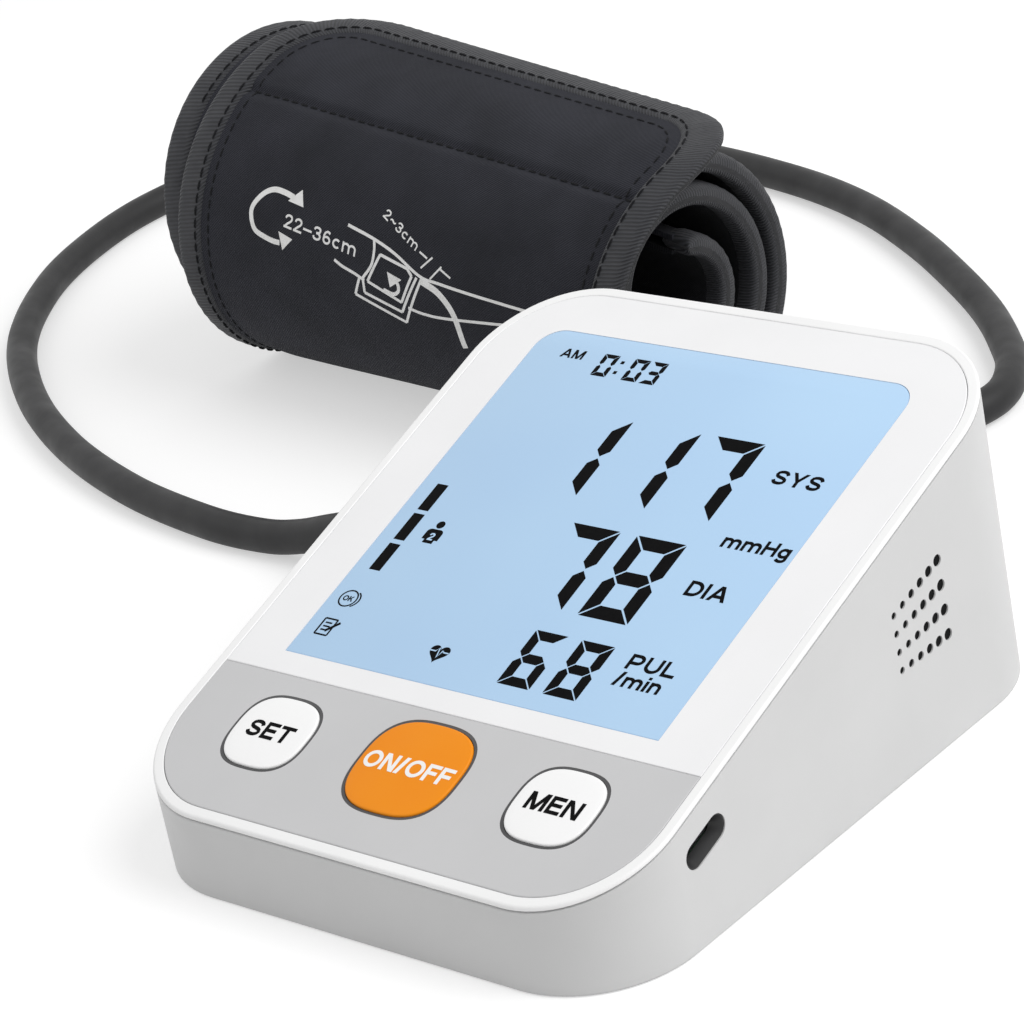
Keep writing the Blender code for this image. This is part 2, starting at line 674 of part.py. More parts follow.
def display_stack():
    """Lens in the window, then LCD glass, backlight, holder and the contact strip to the board."""
    face_piece("display_lens", prism(window_outline(0), -PANEL_THICK, 0), LCD_BLUE)
    x_range = (WINDOW_X[0] - GLASS_MARGIN, WINDOW_X[1] + GLASS_MARGIN)
    light_low = WINDOW_V[0] - GLASS_MARGIN
    strip_low = light_low - GAP - ZEBRA_WIDTH
    high = WINDOW_V[1] + GLASS_MARGIN / 2
    glass = plate(x_range, (strip_low - GAP, high), -GLASS_DEPTH - GLASS_THICK, -GLASS_DEPTH)
    face_piece("lcd_glass", glass, GLASS)
    light_bottom = BACKLIGHT_DEPTH + BACKLIGHT_THICK
    light_range = (light_low, high)
    face_piece("backlight_plate", plate(x_range, light_range, -light_bottom, -BACKLIGHT_DEPTH), DIFFUSER)
    holder = face_piece("lcd_holder", plate(x_range, light_range, -BOARD_SEAT, -HOLDER_DEPTH), BLACK_PLASTIC)
    hollow_x = (x_range[0] + HOLDER_RIM, x_range[1] - HOLDER_RIM)
    hollow = plate(hollow_x, (light_low + HOLDER_RIM, high - HOLDER_RIM), -2 * BOARD_SEAT, 0)
    boolean(holder, add_mesh("cut_holder", hollow, parent=FACE_PLANE))
    strip_x = (GAP - BOARD_WIDTH / 2, BOARD_WIDTH / 2 - GAP)
    strip = plate(strip_x, (strip_low, strip_low + ZEBRA_WIDTH), -BOARD_SEAT, -BACKLIGHT_DEPTH)
    face_piece("zebra_strip", strip, SILICONE)


def button(name, x, width, height):
    """Push button on its own slide axis: a soft-edged cap, and a flange held back by the deck."""
    place = (x, BUTTON_V, 0)
    cap = prism(squircle(width, height), -FLANGE_DEPTH - GAP, BUTTON_PROUD)
    rim = [e for e in cap.edges if all(v.co.z > BUTTON_PROUD / 2 for v in e.verts)]
    bmesh.ops.bevel(cap, geom=rim, offset=BUTTON_EDGE, segments=3, profile=0.5, affect="EDGES")
    material = BUTTON_ORANGE if name == "power" else BUTTON_WHITE
    obj = add_mesh(f"button_{name}", cap, material, FACE_PLANE, place)
    flange = prism(squircle(width + 2 * FLANGE_OUT, height + 2 * FLANGE_OUT), -FLANGE_BOTTOM, -FLANGE_DEPTH)
    boolean(obj, add_mesh(f"join_flange_{name}", flange, None, FACE_PLANE, place), "UNION")


def keypad():
    """Silicone mat with a dome under each button and a hollow over each switch."""
    first, middle, last = BUTTONS
    x_range = (first[1] - first[2] / 2, last[1] + last[2] / 2)
    v_range = (BUTTON_V - middle[3] / 2, BUTTON_V + middle[3] / 2)
    mat_top = BOARD_SEAT - MAT_THICK
    mat = face_piece("keypad", plate(x_range, v_range, -BOARD_SEAT, -mat_top), SILICONE)
    dome_top = FLANGE_BOTTOM + GAP
    switch_top = BOARD_SEAT - SWITCH_HEIGHT
    holes = [cylinder(POST_RADIUS + GAP, -2 * BOARD_SEAT, 0, place, 16) for place in POSTS[:2]]
    for name, x, _, _ in BUTTONS:
        place = (x, BUTTON_V)
        dome = cylinder(DOME_FOOT_RADIUS, -mat_top - MAT_THICK / 2, -dome_top, place, 20, DOME_TOP_RADIUS)
        boolean(mat, add_mesh(f"join_dome_{name}", dome, parent=FACE_PLANE), "UNION")
        holes.append(cylinder(SWITCH_HOLLOW, -2 * BOARD_SEAT, -switch_top + GAP, place, 16))
        switch = box((SWITCH, SWITCH, SWITCH_HEIGHT), (*place, -BOARD_SEAT + SWITCH_HEIGHT / 2))
        face_piece(f"switch_{name}", switch, BLACK_PLASTIC)
    boolean(mat, add_mesh("cut_keypad", merged(holes), parent=FACE_PLANE))


def screw_profile(reach, radius, head, head_top):
    """A plain screw: its tip at the reach, and a flat head under head_top."""
    head_radius, head_height = head
    return [
        (0, reach),
        (radius, reach),
        (radius, head_top),
        (head_radius, head_top),
        (head_radius, head_top - head_height),
        (0, head_top - head_height),
    ]


def main_board():
    """Board under the display, with a tab out to the charging socket and four screws."""
    half = BOARD_WIDTH / 2
    rear = FACE_LENGTH - BOARD_REAR
    tab_x = RIGHT_WALL - WALL - 2 * GAP
    slot_v = SLOT_FROM_FRONT / math.cos(FACE_ANGLE) - SLOT_DEPTH * math.tan(FACE_ANGLE)
    tab_low = slot_v - TAB_WIDTH / 2
    tab_high = slot_v + TAB_WIDTH / 2
    outline = [
        (-half, BOARD_FRONT),
        (half, BOARD_FRONT),
        (half, tab_low),
        (tab_x, tab_low),
        (tab_x, tab_high),
        (half, tab_high),
        (half, rear),
        (-half, rear),
    ]
    board = face_piece("main_board", prism(outline, -BOARD_BOTTOM, -BOARD_TOP), BOARD_GREEN)
    holes = [cylinder(BOARD_SCREW_RADIUS + GAP, -2 * BOARD_BOTTOM, 0, place, 12) for place in POSTS]
    boolean(board, add_mesh("cut_board", merged(holes), parent=FACE_PLANE))
    reach = -FRAME_THICK - 2 * GAP
    profile = screw_profile(reach, BOARD_SCREW_RADIUS, BOARD_SCREW_HEAD, -BOARD_BOTTOM - GAP)
    for index, place in enumerate(POSTS, 1):
        turned(f"board_screw_{index}", profile, Matrix.Translation((*place, 0)), STEEL, 12, FACE_PLANE)


def case_screws_and_feet():
    head_top = PAD_TOP - CASE_SCREW_HEAD[1] - GAP
    profile = screw_profile(CASE_SCREW_REACH, CASE_SCREW_RADIUS, CASE_SCREW_HEAD, head_top)
    for index, place in enumerate(BOSSES, 1):
        turned(f"case_screw_{index}", profile, Matrix.Translation((*place, 0)), STEEL, 12)
    for index, place in enumerate(FEET, 1):
        foot = cylinder(FOOT_RADIUS, 0, FOOT_POCKET - GAP, sides=20)
        add_mesh(f"foot_{index}", foot, RUBBER, location=(*place, 0))


def charging_socket():
    """Metal socket on the board's tab, set back behind the slot, open towards it."""
    length, width, height = SOCKET
    front = -WALL - SOCKET_BACK
    place = wall_frame(SLOT_Y, SLOT_Z, FACE_ANGLE)
    shell = prism(rounded_rectangle(width, height, height * SOCKET_ROUND, 4), front - length, front)
    socket = add_mesh("usb_socket", placed(shell, place), STEEL)
    deep, mouth_width, mouth_height = SOCKET_MOUTH
    mouth_outline = rounded_rectangle(mouth_width, mouth_height, mouth_height * SOCKET_ROUND, 4)
    mouth = prism(mouth_outline, front - deep, 0)
    boolean(socket, add_mesh("cut_socket_mouth", placed(mouth, place)))


def speaker():
    """Speaker behind the holes: a dished cone in a rim, and a narrower magnet."""
    y = (HOLES_Y[0] + HOLES_Y[1]) / 2
    z = (HOLES_LOW_Z + (HOLES_HIGH_Z[0] + HOLES_HIGH_Z[1]) / 2) / 2
    front = -WALL - GAP
    profile = [
        (0, front - SPEAKER_DISH),
        (SPEAKER_RADIUS * 0.8, front - SPEAKER_DISH),
        (SPEAKER_RADIUS * 0.9, front),
        (SPEAKER_RADIUS, front),
        (SPEAKER_RADIUS, front - SPEAKER_THICK / 2),
        (SPEAKER_RADIUS * 0.6, front - SPEAKER_THICK),
        (0, front - SPEAKER_THICK),
    ]
    turned("speaker", profile, wall_frame(y, z), BLACK_PLASTIC, 28)


def battery_cells():
    """Round cells side by side, turned about in pairs."""
    nub_radius, nub_length = CELL_NUB
    top = CELL_LENGTH / 2
    shoulder = top - nub_length
    profile = [
        (0, top),
        (nub_radius, top),
        (nub_radius, shoulder),
        (CELL_RADIUS, shoulder),
        (CELL_RADIUS, -top),
        (0, -top),
    ]
    for index in range(CELL_COUNT):
        way = 1 if index % 2 else -1
        centre = Matrix.Translation((BAY_LEFT + CELL_PITCH * (index + 0.5), BAY_CENTRE[1], CELL_Z))
        place = centre @ Matrix.Rotation(way * math.pi / 2, 4, "X")
        turned(f"battery_{index + 1}", profile, place, CELL_SKIN, 20)


def contact_strip(name, side):
    """Sprung contact plate on the bay's front or rear wall, with a cone for each cell."""
    wall_y = BAY_CENTRE[1] + side * (BAY_DEPTH / 2 - GAP)
    middle_y = wall_y - side * CONTACT_THICK / 2
    low = FLOOR + GAP + CONTACT_MARGIN
    high = BAY_ROOF - CONTACT_MARGIN
    size = (BAY_WIDTH - 2 * GAP, CONTACT_THICK, high - low)
    contact = add_mesh(f"contact_strip_{name}", box(size, (BAY_CENTRE[0], middle_y, (low + high) / 2)), STEEL)
    reach = BAY_END - 2 * GAP - CONTACT_THICK / 2
    for index in range(CELL_COUNT):
        spring = cylinder(SPRING_RADIUS[0], 0, reach, sides=12, top_radius=SPRING_RADIUS[1])
        place = Matrix.Translation((BAY_LEFT + CELL_PITCH * (index + 0.5), middle_y, CELL_Z))
        placed(spring, place @ Matrix.Rotation(side * math.pi / 2, 4, "X"))
        boolean(contact, add_mesh(f"join_spring_{name}_{index}", spring), "UNION")


def battery_door():
    """Door in the floor, on an empty at its hinge line, with a thumb recess at its free edge."""
    hinge_place = (BAY_CENTRE[0], BAY_CENTRE[1] - DOOR_SIZE[1] / 2, 0)
    hinge = make_empty("battery_door_hinge", Matrix.Translation(hinge_place))
    panel = box((*DOOR_SIZE, FLOOR), (0, DOOR_SIZE[1] / 2, FLOOR / 2))
    door = add_mesh("battery_door", panel, WALL_GREY, hinge)
    thumb = cylinder(THUMB_RADIUS, -FLOOR, THUMB_DEPTH, (0, DOOR_SIZE[1] - THUMB_INSET))
    boolean(door, add_mesh("cut_thumb_recess", thumb, parent=hinge))


def battery_bay():
    """Tray that opens downwards over the floor's opening, with cells, contacts and a hinged door."""
    low = FLOOR + GAP
    roof = BAY_ROOF + BAY_WALL
    outer = (BAY_WIDTH + 2 * BAY_WALL, BAY_DEPTH + 2 * BAY_WALL)
    tray = add_mesh("battery_bay", box((*outer, roof - low), (*BAY_CENTRE, (roof + low) / 2)), BLACK_PLASTIC)
    flange_size = (outer[0] + 2 * BAY_FLANGE, outer[1], BAY_WALL)
    flange = box(flange_size, (*BAY_CENTRE, low + BAY_WALL / 2))
    boolean(tray, add_mesh("join_bay_flange", flange), "UNION")
    hollow = box((BAY_WIDTH, BAY_DEPTH, 2 * BAY_ROOF), (*BAY_CENTRE, 0))
    boolean(tray, add_mesh("cut_bay", hollow))
    battery_cells()
    contact_strip("front", -1)
    contact_strip("rear", 1)
    battery_door()


def pump():
    motor = cylinder(MOTOR_RADIUS, MOTOR_END - MOTOR_LENGTH, MOTOR_END, sides=28)
    along_y = Matrix.Translation((PUMP_X, 0, PUMP_Z)) @ Matrix.Rotation(-math.pi / 2, 4, "X")
    add_mesh("pump_motor", placed(motor, along_y), STEEL)
    head_y = MOTOR_END + GAP + HEAD_LENGTH / 2
    add_mesh("pump_head", box((HEAD_SIDE, HEAD_LENGTH, HEAD_SIDE), (PUMP_X, head_y, PUMP_Z)), BLACK_PLASTIC)


def air_jack():
    """Socket through the left wall: an outer flange, a sleeve, and a bore closed at its inner end."""
    flange_radius, flange_thick = JACK_FLANGE
    seat = LEFT_WALL - GAP
    mouth = seat - flange_thick
    bore_end = JACK_END - JACK_END_WALL
    profile = [
        (JACK_BORE, seat),
        (JACK_BORE, mouth),
        (flange_radius, mouth),
        (flange_radius, seat),
        (JACK_RADIUS, seat),
        (JACK_RADIUS, JACK_END),
        (0, JACK_END),
        (0, bore_end),
        (JACK_BORE, bore_end),
        (JACK_BORE, seat),
    ]
    turned("air_jack", [(radius, -x) for radius, x in profile], along_x(0, JACK_Y, JACK_Z, -1), WHITE)


def manifold_and_tubes():
    """Block behind the jack, with tubes to the pump, to the valve above and to the sensor."""
    length, width, height = MANIFOLD
    x = JACK_END + GAP + length / 2
    top = JACK_Z + height / 2
    add_mesh("air_manifold", box(MANIFOLD, (x, JACK_Y, JACK_Z)), BLACK_PLASTIC)
    pump_y = MOTOR_END + 2 * GAP + HEAD_LENGTH
    tube("tube_pump", [(x, pump_y, JACK_Z), (x, JACK_Y - width / 2 - GAP, JACK_Z)], TUBE_RADIUS, TUBE_CLEAR)
    tube_top = top + GAP + VALVE_TUBE
    tube("tube_valve", [(x, JACK_Y, top + GAP), (x, JACK_Y, tube_top)], TUBE_RADIUS, TUBE_CLEAR)
    valve = cylinder(VALVE_RADIUS, 0, VALVE_LENGTH)
    add_mesh("release_valve", valve, STEEL, location=(x, JACK_Y, tube_top + GAP))
    sensor_v = FACE_LENGTH - SENSOR_FROM_REAR
    sensor_top = BOARD_BOTTOM + GAP
    sensor_size = (SENSOR_SIDE, SENSOR_SIDE, SENSOR_HEIGHT)
    sensor = box(sensor_size, (SENSOR_X, sensor_v, -sensor_top - SENSOR_HEIGHT / 2))
    face_piece("pressure_sensor", sensor, BLACK_PLASTIC)
    start = Vector((x + length / 2 + GAP, JACK_Y + width / 4, JACK_Z + height / 4))
    end = FACE @ Vector((SENSOR_X, sensor_v, -sensor_top - SENSOR_HEIGHT - GAP))
    tube("tube_sensor", sensor_route(start, end), SENSOR_TUBE_RADIUS, TUBE_CLEAR, 2)


def sensor_route(start, end):
    """From the manifold's side along X, then up into the sensor square to the board."""
    stub = start + Vector((TUBE_RADIUS / 2, 0, 0))
    lead = stub + Vector((2 * TUBE_RADIUS, 0, 0))
    rise = end - FACE_OUT * 4 * TUBE_RADIUS
    steps = 8
    route = [start]
    for step in range(steps + 1):
        t = step / steps
        away = 1 - t
        route.append(stub * away**3 + lead * 3 * away**2 * t + rise * 3 * away * t**2 + end * t**3)
    return route


def air_plug():
    """Push-in plug: a nose in the jack, a ribbed grip and a sleeve where the hose starts."""
    nose_radius, nose_length = PLUG_NOSE
    grip_radius, grip_length = PLUG_GRIP
    sleeve_radius, sleeve_length = PLUG_SLEEVE
    waist = grip_radius * PLUG_WAIST
    step = grip_length / (2 * PLUG_RIBS)
    profile = [
        (0, nose_length),
        (nose_radius - PLUG_CHAMFER * 0.66, nose_length),
        (nose_radius, nose_length - PLUG_CHAMFER),
        (nose_radius, 0),
        (waist, 0),
    ]
    for rib in range(PLUG_RIBS):
        top = -(2 * rib + 0.4) * step
        profile += [(grip_radius, top), (grip_radius, top - step), (waist, top - 1.4 * step)]
    profile += [
        (waist, -grip_length),
        (sleeve_radius, -grip_length - PLUG_CHAMFER),
        (sleeve_radius * 0.9, -grip_length - sleeve_length),
        (0, -grip_length - sleeve_length),
    ]
    turned("air_plug", profile, along_x(PLUG_FACE, JACK_Y, JACK_Z), HOSE_BLACK)


# Cuff: each layer is a flat slab, (turn round the roll, across, depth), bent onto the spiral
STEP_ANGLE = 2 * math.pi / ROLL_STEPS
FULL_TURN = STEP_ANGLE * round(ROLL_TURNS * ROLL_STEPS)
ROLL_ALONG = Vector((math.cos(CUFF_TURN), math.sin(CUFF_TURN), 0))
ROLL_BACK = Vector((-math.sin(CUFF_TURN), math.cos(CUFF_TURN), 0))
UP = Vector((0, 0, 1))
ROLL_PITCH = CLOTH + BLADDER + LINING + 2 * GAP + ROLL_SPACE
BOTTOM_TURN = 1.5 * math.pi - FLAP_ANGLE


def ramp_share(turn):
    """From 0 in the thin flap to 1 where the bladder starts, eased at both ends."""
    low, high = LINING_RAMP
    share = min(max((turn - low) / (high - low), 0), 1)
    return share * share * (3 - 2 * share)


def spiral_radius(turn):
    """Outer surface of the cloth, a turn angle in from the flap's end; the inner turns close in more."""
    inner = max(turn / (2 * math.pi) - 1, 0) / (ROLL_TURNS - 1)
    closing = ROLL_PITCH * turn / (2 * math.pi) + INNER_DRAW * inner**2
    return ROLL_RADIUS - closing - FLAP_DROP * (1 - ramp_share(turn))


def flap_shift(turn):
    """How far the flap has slid along the roll: nothing where the roll rests, most at the flap's end."""
    return FLAP_SHIFT * max(1 - turn / FLAP_SKEWED, 0) ** SKEW_POWER


def flap_lift(turn, side):
    """How far the free flap springs off the roll, for a side from -1 at the left to 1 at the right."""
    middle, lean = FLAP_LIFT
    share = min(max(turn / FLAP_FREE, 0), 1)
    return (middle + lean * side) * (1 - share * share * (3 - 2 * share))


ROLL_CENTRE = Vector((*CUFF_CENTRE, TABLE + TABLE_GAP + GAP + spiral_radius(BOTTOM_TURN)))


def roll(turn, across, depth):
    """A point of the rolled sheet: turn angle from the flap's end, place across, depth inward.

    The roll is a slight cone that lies along its lowest line, so its axis dips to the right.
    """
    along = across + flap_shift(turn)
    side = 2 * along / CUFF_LENGTH
    narrowing = ROLL_CONE * side
    radius = spiral_radius(turn) + flap_lift(turn, side) - narrowing - depth
    angle = FLAP_ANGLE + turn
    outward = ROLL_BACK * math.cos(angle) + UP * math.sin(angle)
    return ROLL_CENTRE + ROLL_ALONG * along - UP * narrowing + outward * radius


def lining_depth(turn):
    """The lining lies on the cloth in the flap and under the bladder further in."""
    return CLOTH + GAP + (BLADDER + GAP) * ramp_share(turn)


def lining_bottom(turn):
    return lining_depth(turn) + LINING


def level(depth):
    """A depth that is the same all along the sheet."""
    return lambda turn: depth


def turn_samples(start, end):
    """Turn angles on the roll's even steps, between a start and an end."""
    first = math.ceil(start / STEP_ANGLE + 0.2)
    last = math.floor(end / STEP_ANGLE - 0.2)
    return [start, *[STEP_ANGLE * step for step in range(first, last + 1)], end]


def cloth_edge(turn, inset):
    """Half the cloth's width inside the binding, with the flap's round corners."""
    radius = FLAP_CORNER - inset
    back = max(FLAP_CORNER - turn * ROLL_RADIUS, 0)
    return CUFF_LENGTH / 2 - FLAP_CORNER + math.sqrt(max(radius**2 - back**2, 0))


def rolled_slab(name, rows, place, top, bottom, material, columns=2):
    """A grid pulled into a slab and bent onto the spiral.

    place gives the turn and the place across for a row and a side from -1 to 1, and top and
    bottom give the two depths at a turn.
    """
    bm = bmesh.new()
    bmesh.ops.create_grid(bm, x_segments=rows - 1, y_segments=columns, size=1.0)
    pulled = bmesh.ops.extrude_face_region(bm, geom=bm.faces[:])["geom"]
    lower = [v for v in pulled if isinstance(v, bmesh.types.BMVert)]
    bmesh.ops.translate(bm, vec=(0, 0, -1), verts=lower)
    for vert in bm.verts:
        row = round((vert.co.x + 1) / 2 * (rows - 1))
        turn, across = place(row, vert.co.y)
        depth = top(turn) if vert.co.z > -0.5 else bottom(turn)
        vert.co = roll(turn, across, depth)
    add_mesh(name, bm, material)


def strip(name, turns, width, top, bottom, material):
    """A straight-sided layer between two turns."""
    samples = turn_samples(*turns)
    rolled_slab(name, len(samples), lambda row, side: (samples[row], side * width / 2), top, bottom, material)


def binding_stations():
    """Round the sheet's edge: up one side, over the flap's two corners, down the other side.

    Each station is (turn, across) on the edge, then on the tape's inner line.
    """
    reach = CUFF_LENGTH / 2
    side = reversed(turn_samples(FLAP_CORNER / ROLL_RADIUS, FULL_TURN))
    stations = [((turn, reach), (turn, reach - BINDING_WIDTH)) for turn in side]
    cuts = 2 * CORNER_CUTS
    for cut in range(1, cuts + 1):
        angle = math.pi / 2 * cut / cuts
        pair = []
        for radius in (FLAP_CORNER, FLAP_CORNER - BINDING_WIDTH):
            run = FLAP_CORNER - radius * math.sin(angle)
            pair.append((run / ROLL_RADIUS, reach - FLAP_CORNER + radius * math.cos(angle)))
        stations.append(tuple(pair))
    mirrored = [tuple((turn, -across) for turn, across in pair) for pair in reversed(stations)]
    return stations + mirrored


def cuff():
    """Outer cloth, bladder, lining and hook patch, edged by the binding tape."""
    inset = BINDING_WIDTH + GAP
    start = inset / ROLL_RADIUS
    corner = FLAP_CORNER / ROLL_RADIUS
    samples = turn_samples(start, FULL_TURN)
    for cut in range(1, CORNER_CUTS):
        samples.append(start + (corner - start) * (1 - math.cos(math.pi / 2 * cut / CORNER_CUTS)))
    samples.sort()

    def sheet_place(row, side):
        return samples[row], side * cloth_edge(samples[row], inset)

    rows = len(samples)
    rolled_slab("cuff_outer_cloth", rows, sheet_place, level(0), level(CLOTH), NYLON)
    rolled_slab("cuff_inner_cloth", rows, sheet_place, lining_depth, lining_bottom, NYLON)
    air_top = CLOTH + GAP
    air_width = CUFF_LENGTH - 2 * (inset + BLADDER_SIDE)
    strip("cuff_bladder", BLADDER_TURNS, air_width, level(air_top), level(air_top + BLADDER), TPU)
    hook_top = CLOTH + 2 * GAP + LINING
    strip("hook_patch", HOOK_TURNS, HOOK_WIDTH, level(hook_top), level(hook_top + HOOK_THICK), NYLON)
    stations = binding_stations()

    def tape_place(row, side):
        outer, inner = stations[row]
        return outer if side > 0 else inner

    rolled_slab("cuff_binding", len(stations), tape_place, level(-GAP), lining_bottom, TAPE, 1)


PORT_HEIGHT = TABLE + HOSE_RADIUS + PORT_LIFT


def cuff_port():
    """Air port on the cuff's right edge, level with the hose, and the point where the hose starts."""
    seat = Vector((*CUFF_CENTRE, PORT_HEIGHT)) + ROLL_ALONG * (CUFF_LENGTH / 2 + GAP)
    along_roll = Matrix.Rotation(CUFF_TURN, 4, "Z") @ Matrix.Rotation(math.pi / 2, 4, "Y")
    place = Matrix.Translation(seat) @ along_roll
    tip_radius, foot_radius = PORT_RADIUS
    profile = [(0, PORT_LENGTH), (tip_radius, PORT_LENGTH), (foot_radius, 0), (0, 0)]
    turned("cuff_port", profile, place, HOSE_BLACK, 20)
    return seat + ROLL_ALONG * (PORT_LENGTH + GAP)


def air_hose(start):
    """Hose on the table from the port, rising to the jack's height where it meets the plug."""
    low = TABLE + HOSE_RADIUS
    climb = JACK_Z - low
    route = [start, *[Vector((x * MM, y * MM, low)) for x, y in HOSE_ROUTE_MM]]
    route += [Vector((x * MM, y * MM, low + share * climb)) for x, y, share in HOSE_CLIMB]
    route.append(Vector((PLUG_TAIL - GAP, JACK_Y, JACK_Z)))
    points = smooth_route(route, HOSE_POINTS)
    points[:, 2] = np.maximum(points[:, 2], low)
    length = np.linalg.norm(np.diff(points, axis=0), axis=1).sum()
    print(f"hose length {length / MM:.0f} mm")
    tube("air_hose", points, HOSE_RADIUS, HOSE_BLACK)


lower_case()
face_frame()
face_panels()
display_stack()
for button_sizes in BUTTONS:
    button(*button_sizes)
keypad()
main_board()
case_screws_and_feet()
charging_socket()
speaker()
battery_bay()
pump()
air_jack()
manifold_and_tubes()
air_plug()
cuff()
air_hose(cuff_port())
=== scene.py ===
"""Looks of an upper arm blood pressure monitor: console, rolled cuff and air hose.

Metres, +Z up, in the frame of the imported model: the origin is the middle of the console's
underside, +X is to the reader's right and +Y is away from the reader.
"""

import json
import math

import bmesh
import bpy
import numpy as np
from mathutils import Matrix, Vector


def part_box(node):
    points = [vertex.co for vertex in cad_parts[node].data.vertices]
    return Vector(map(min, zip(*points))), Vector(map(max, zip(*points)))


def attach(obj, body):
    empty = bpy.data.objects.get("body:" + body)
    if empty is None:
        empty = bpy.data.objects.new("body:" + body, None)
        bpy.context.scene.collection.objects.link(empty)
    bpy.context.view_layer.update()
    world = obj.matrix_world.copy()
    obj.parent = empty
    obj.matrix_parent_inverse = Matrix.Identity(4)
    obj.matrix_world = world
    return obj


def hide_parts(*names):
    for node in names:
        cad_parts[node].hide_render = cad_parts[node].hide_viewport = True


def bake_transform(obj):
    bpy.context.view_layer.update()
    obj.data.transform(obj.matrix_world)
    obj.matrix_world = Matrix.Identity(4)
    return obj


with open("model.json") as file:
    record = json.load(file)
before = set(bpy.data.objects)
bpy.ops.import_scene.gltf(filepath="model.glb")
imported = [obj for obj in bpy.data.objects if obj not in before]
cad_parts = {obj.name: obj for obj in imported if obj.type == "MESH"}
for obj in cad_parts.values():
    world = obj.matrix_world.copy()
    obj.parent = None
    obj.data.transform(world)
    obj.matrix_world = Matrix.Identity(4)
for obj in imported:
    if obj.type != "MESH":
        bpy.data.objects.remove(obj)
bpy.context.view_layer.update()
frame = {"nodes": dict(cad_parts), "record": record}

MM = 0.001
BODY = "monitor"
SHARP = 35
ROUNDED = 60
CASE_LOW, CASE_HIGH = np.array(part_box("lower_case"))

# Console: outline, walls and the sloping face
FACE_ANGLE = math.radians(18.2)
FRONT_HEIGHT = 17.6 * MM
CORNER_RADIUS = 22 * MM
CORNER_STEPS = 20
WALL = 2.2 * MM
FLOOR = 2.0 * MM
BASE_ROUND = 0.8 * MM
FRAME_THICK = 4.0 * MM
LIP = 0.8 * MM
LAP = 1.0 * MM
LAP_GAP = 0.3 * MM
SEAM = 0.35 * MM
RIM = 2.2 * MM
RIM_ROUND = 0.55 * MM
EDGE_ROUND = 0.2 * MM
PANEL_THICK = 1.2 * MM
PANEL_GAP = 0.12 * MM
PANEL_SPLIT = 35.1 * MM
WINDOW_ROUND = 5.5 * MM
LENS_EDGE = ((0, -PANEL_THICK), (0, -0.15 * MM), (-0.05 * MM, -0.04 * MM), (-0.15 * MM, 0))

# Buttons: soft rectangles, |x|^power + |y|^power = 1, with a gap round each
BUTTON_V = 21.6 * MM
BUTTON_SIZES = {
    "button_set": (-34.0 * MM, 17.6 * MM, 16.6 * MM, "SET"),
    "button_power": (0.0, 23.0 * MM, 21.2 * MM, "ON/OFF"),
    "button_memory": (34.0 * MM, 17.6 * MM, 16.6 * MM, "MEN"),
}
BUTTON_POWER = 2.8
BUTTON_GAP = 0.7 * MM
BUTTON_PROUD = 0.55 * MM
BUTTON_CROWN = 0.2 * MM
BUTTON_EDGE = 0.35 * MM
CROWN_RINGS = (0.85, 0.7, 0.5, 0.3, 0.1)
BUTTON_LIP = 1.5 * MM
LIP_DEPTHS = (5.3 * MM, 4.3 * MM)
# Painted shade: a dark ring fills each button's gap, between these distances out from the button, from this
# depth under the face
SHADE_RING_GROW = (0.12 * MM, 0.68 * MM)
SHADE_RING_SUNK = 0.06 * MM
LETTER_HEIGHT = 3.9
WORD_WIDTHS = {"SET": 10.9, "ON/OFF": 20.6, "MEN": 11.9}
PRINT_THICK = 0.05 * MM

# Keypad under the buttons: depths below the face, and the section of a dome from its hollow's roof
KEYPAD_SPAN = np.array([(-42.8, 11.0), (42.8, 32.2)]) * MM
MAT_DEPTHS = (8.8 * MM, 9.8 * MM)
MAT_CLEAR = 2.0 * MM
POST_PLACES = (-18.4 * MM, 18.4 * MM)
POST_HOLE = 2.3 * MM
DOME_FOOT = 6.2 * MM
DOME_HOLLOW = [(0.02, -7.7), (4.5, -7.7), (4.5, -9.8)]
DOME_OUTSIDE = [(6.2, -9.8), (6.2, -8.8), (4.0, -5.6), (0.02, -5.6)]
DOME_PROFILE = np.array(DOME_HOLLOW + DOME_OUTSIDE) * MM

# Right wall: charging slot and speaker holes; left wall: air jack
SLOT_PLACE = (-39.0 * MM, 18.6 * MM)
SLOT_SIZE = (11.6 * MM, 5.0 * MM)
SOCKET_SIZE = (8.4 * MM, 2.6 * MM)
FUNNEL = ((1.6, 0.4), (1.6, 0.1), (-0.06, 0.1), (-0.06, -1.95), (-0.5, -1.95))
HOLE_COLUMNS = 6
HOLE_ROWS = 4
HOLE_SIDES = 28
HOLES_Y = (19.6 * MM, 34.0 * MM)
HOLES_LOW = 21.1 * MM
HOLES_HIGH = (32.1 * MM, 36.1 * MM)
HOLE_RADIUS = (0.7 * MM, 1.15 * MM)
MESH_CLEAR = 0.02 * MM
MESH_DEPTHS = (0.3 * MM, 1.2 * MM)
JACK_Y = 43.0 * MM
JACK_Z = 12.5 * MM
JACK_HOLE = 4.8 * MM

# Underside
DOOR_GAP = 0.4 * MM
FOOT_RADIUS = 5.0 * MM
FOOT_POCKET = 1.0 * MM
SCREW_PLACES = [(-46.5, -56.0), (46.5, -56.0), (-50.5, 52.0), (50.5, 52.0)]
SCREW_WELL = (3.1 * MM, 3.0 * MM)


def hex_colour(text):
    """An sRGB hex value as linear red, green, blue and alpha."""
    parts = [int(text[i : i + 2], 16) / 255 for i in (1, 3, 5)]
    linear = [c / 12.92 if c <= 0.04045 else ((c + 0.055) / 1.055) ** 2.4 for c in parts]
    return (*linear, 1.0)


def add_node(tree, kind, inputs=None, **settings):
    """Adds a node, sets its properties, and fills each input with a value or another node's socket."""
    node = tree.nodes.new(kind)
    for key, value in settings.items():
        setattr(node, key, value)
    for key, value in (inputs or {}).items():
        if isinstance(value, bpy.types.NodeSocket):
            tree.links.new(value, node.inputs[key])
        else:
            node.inputs[key].default_value = value
    return node


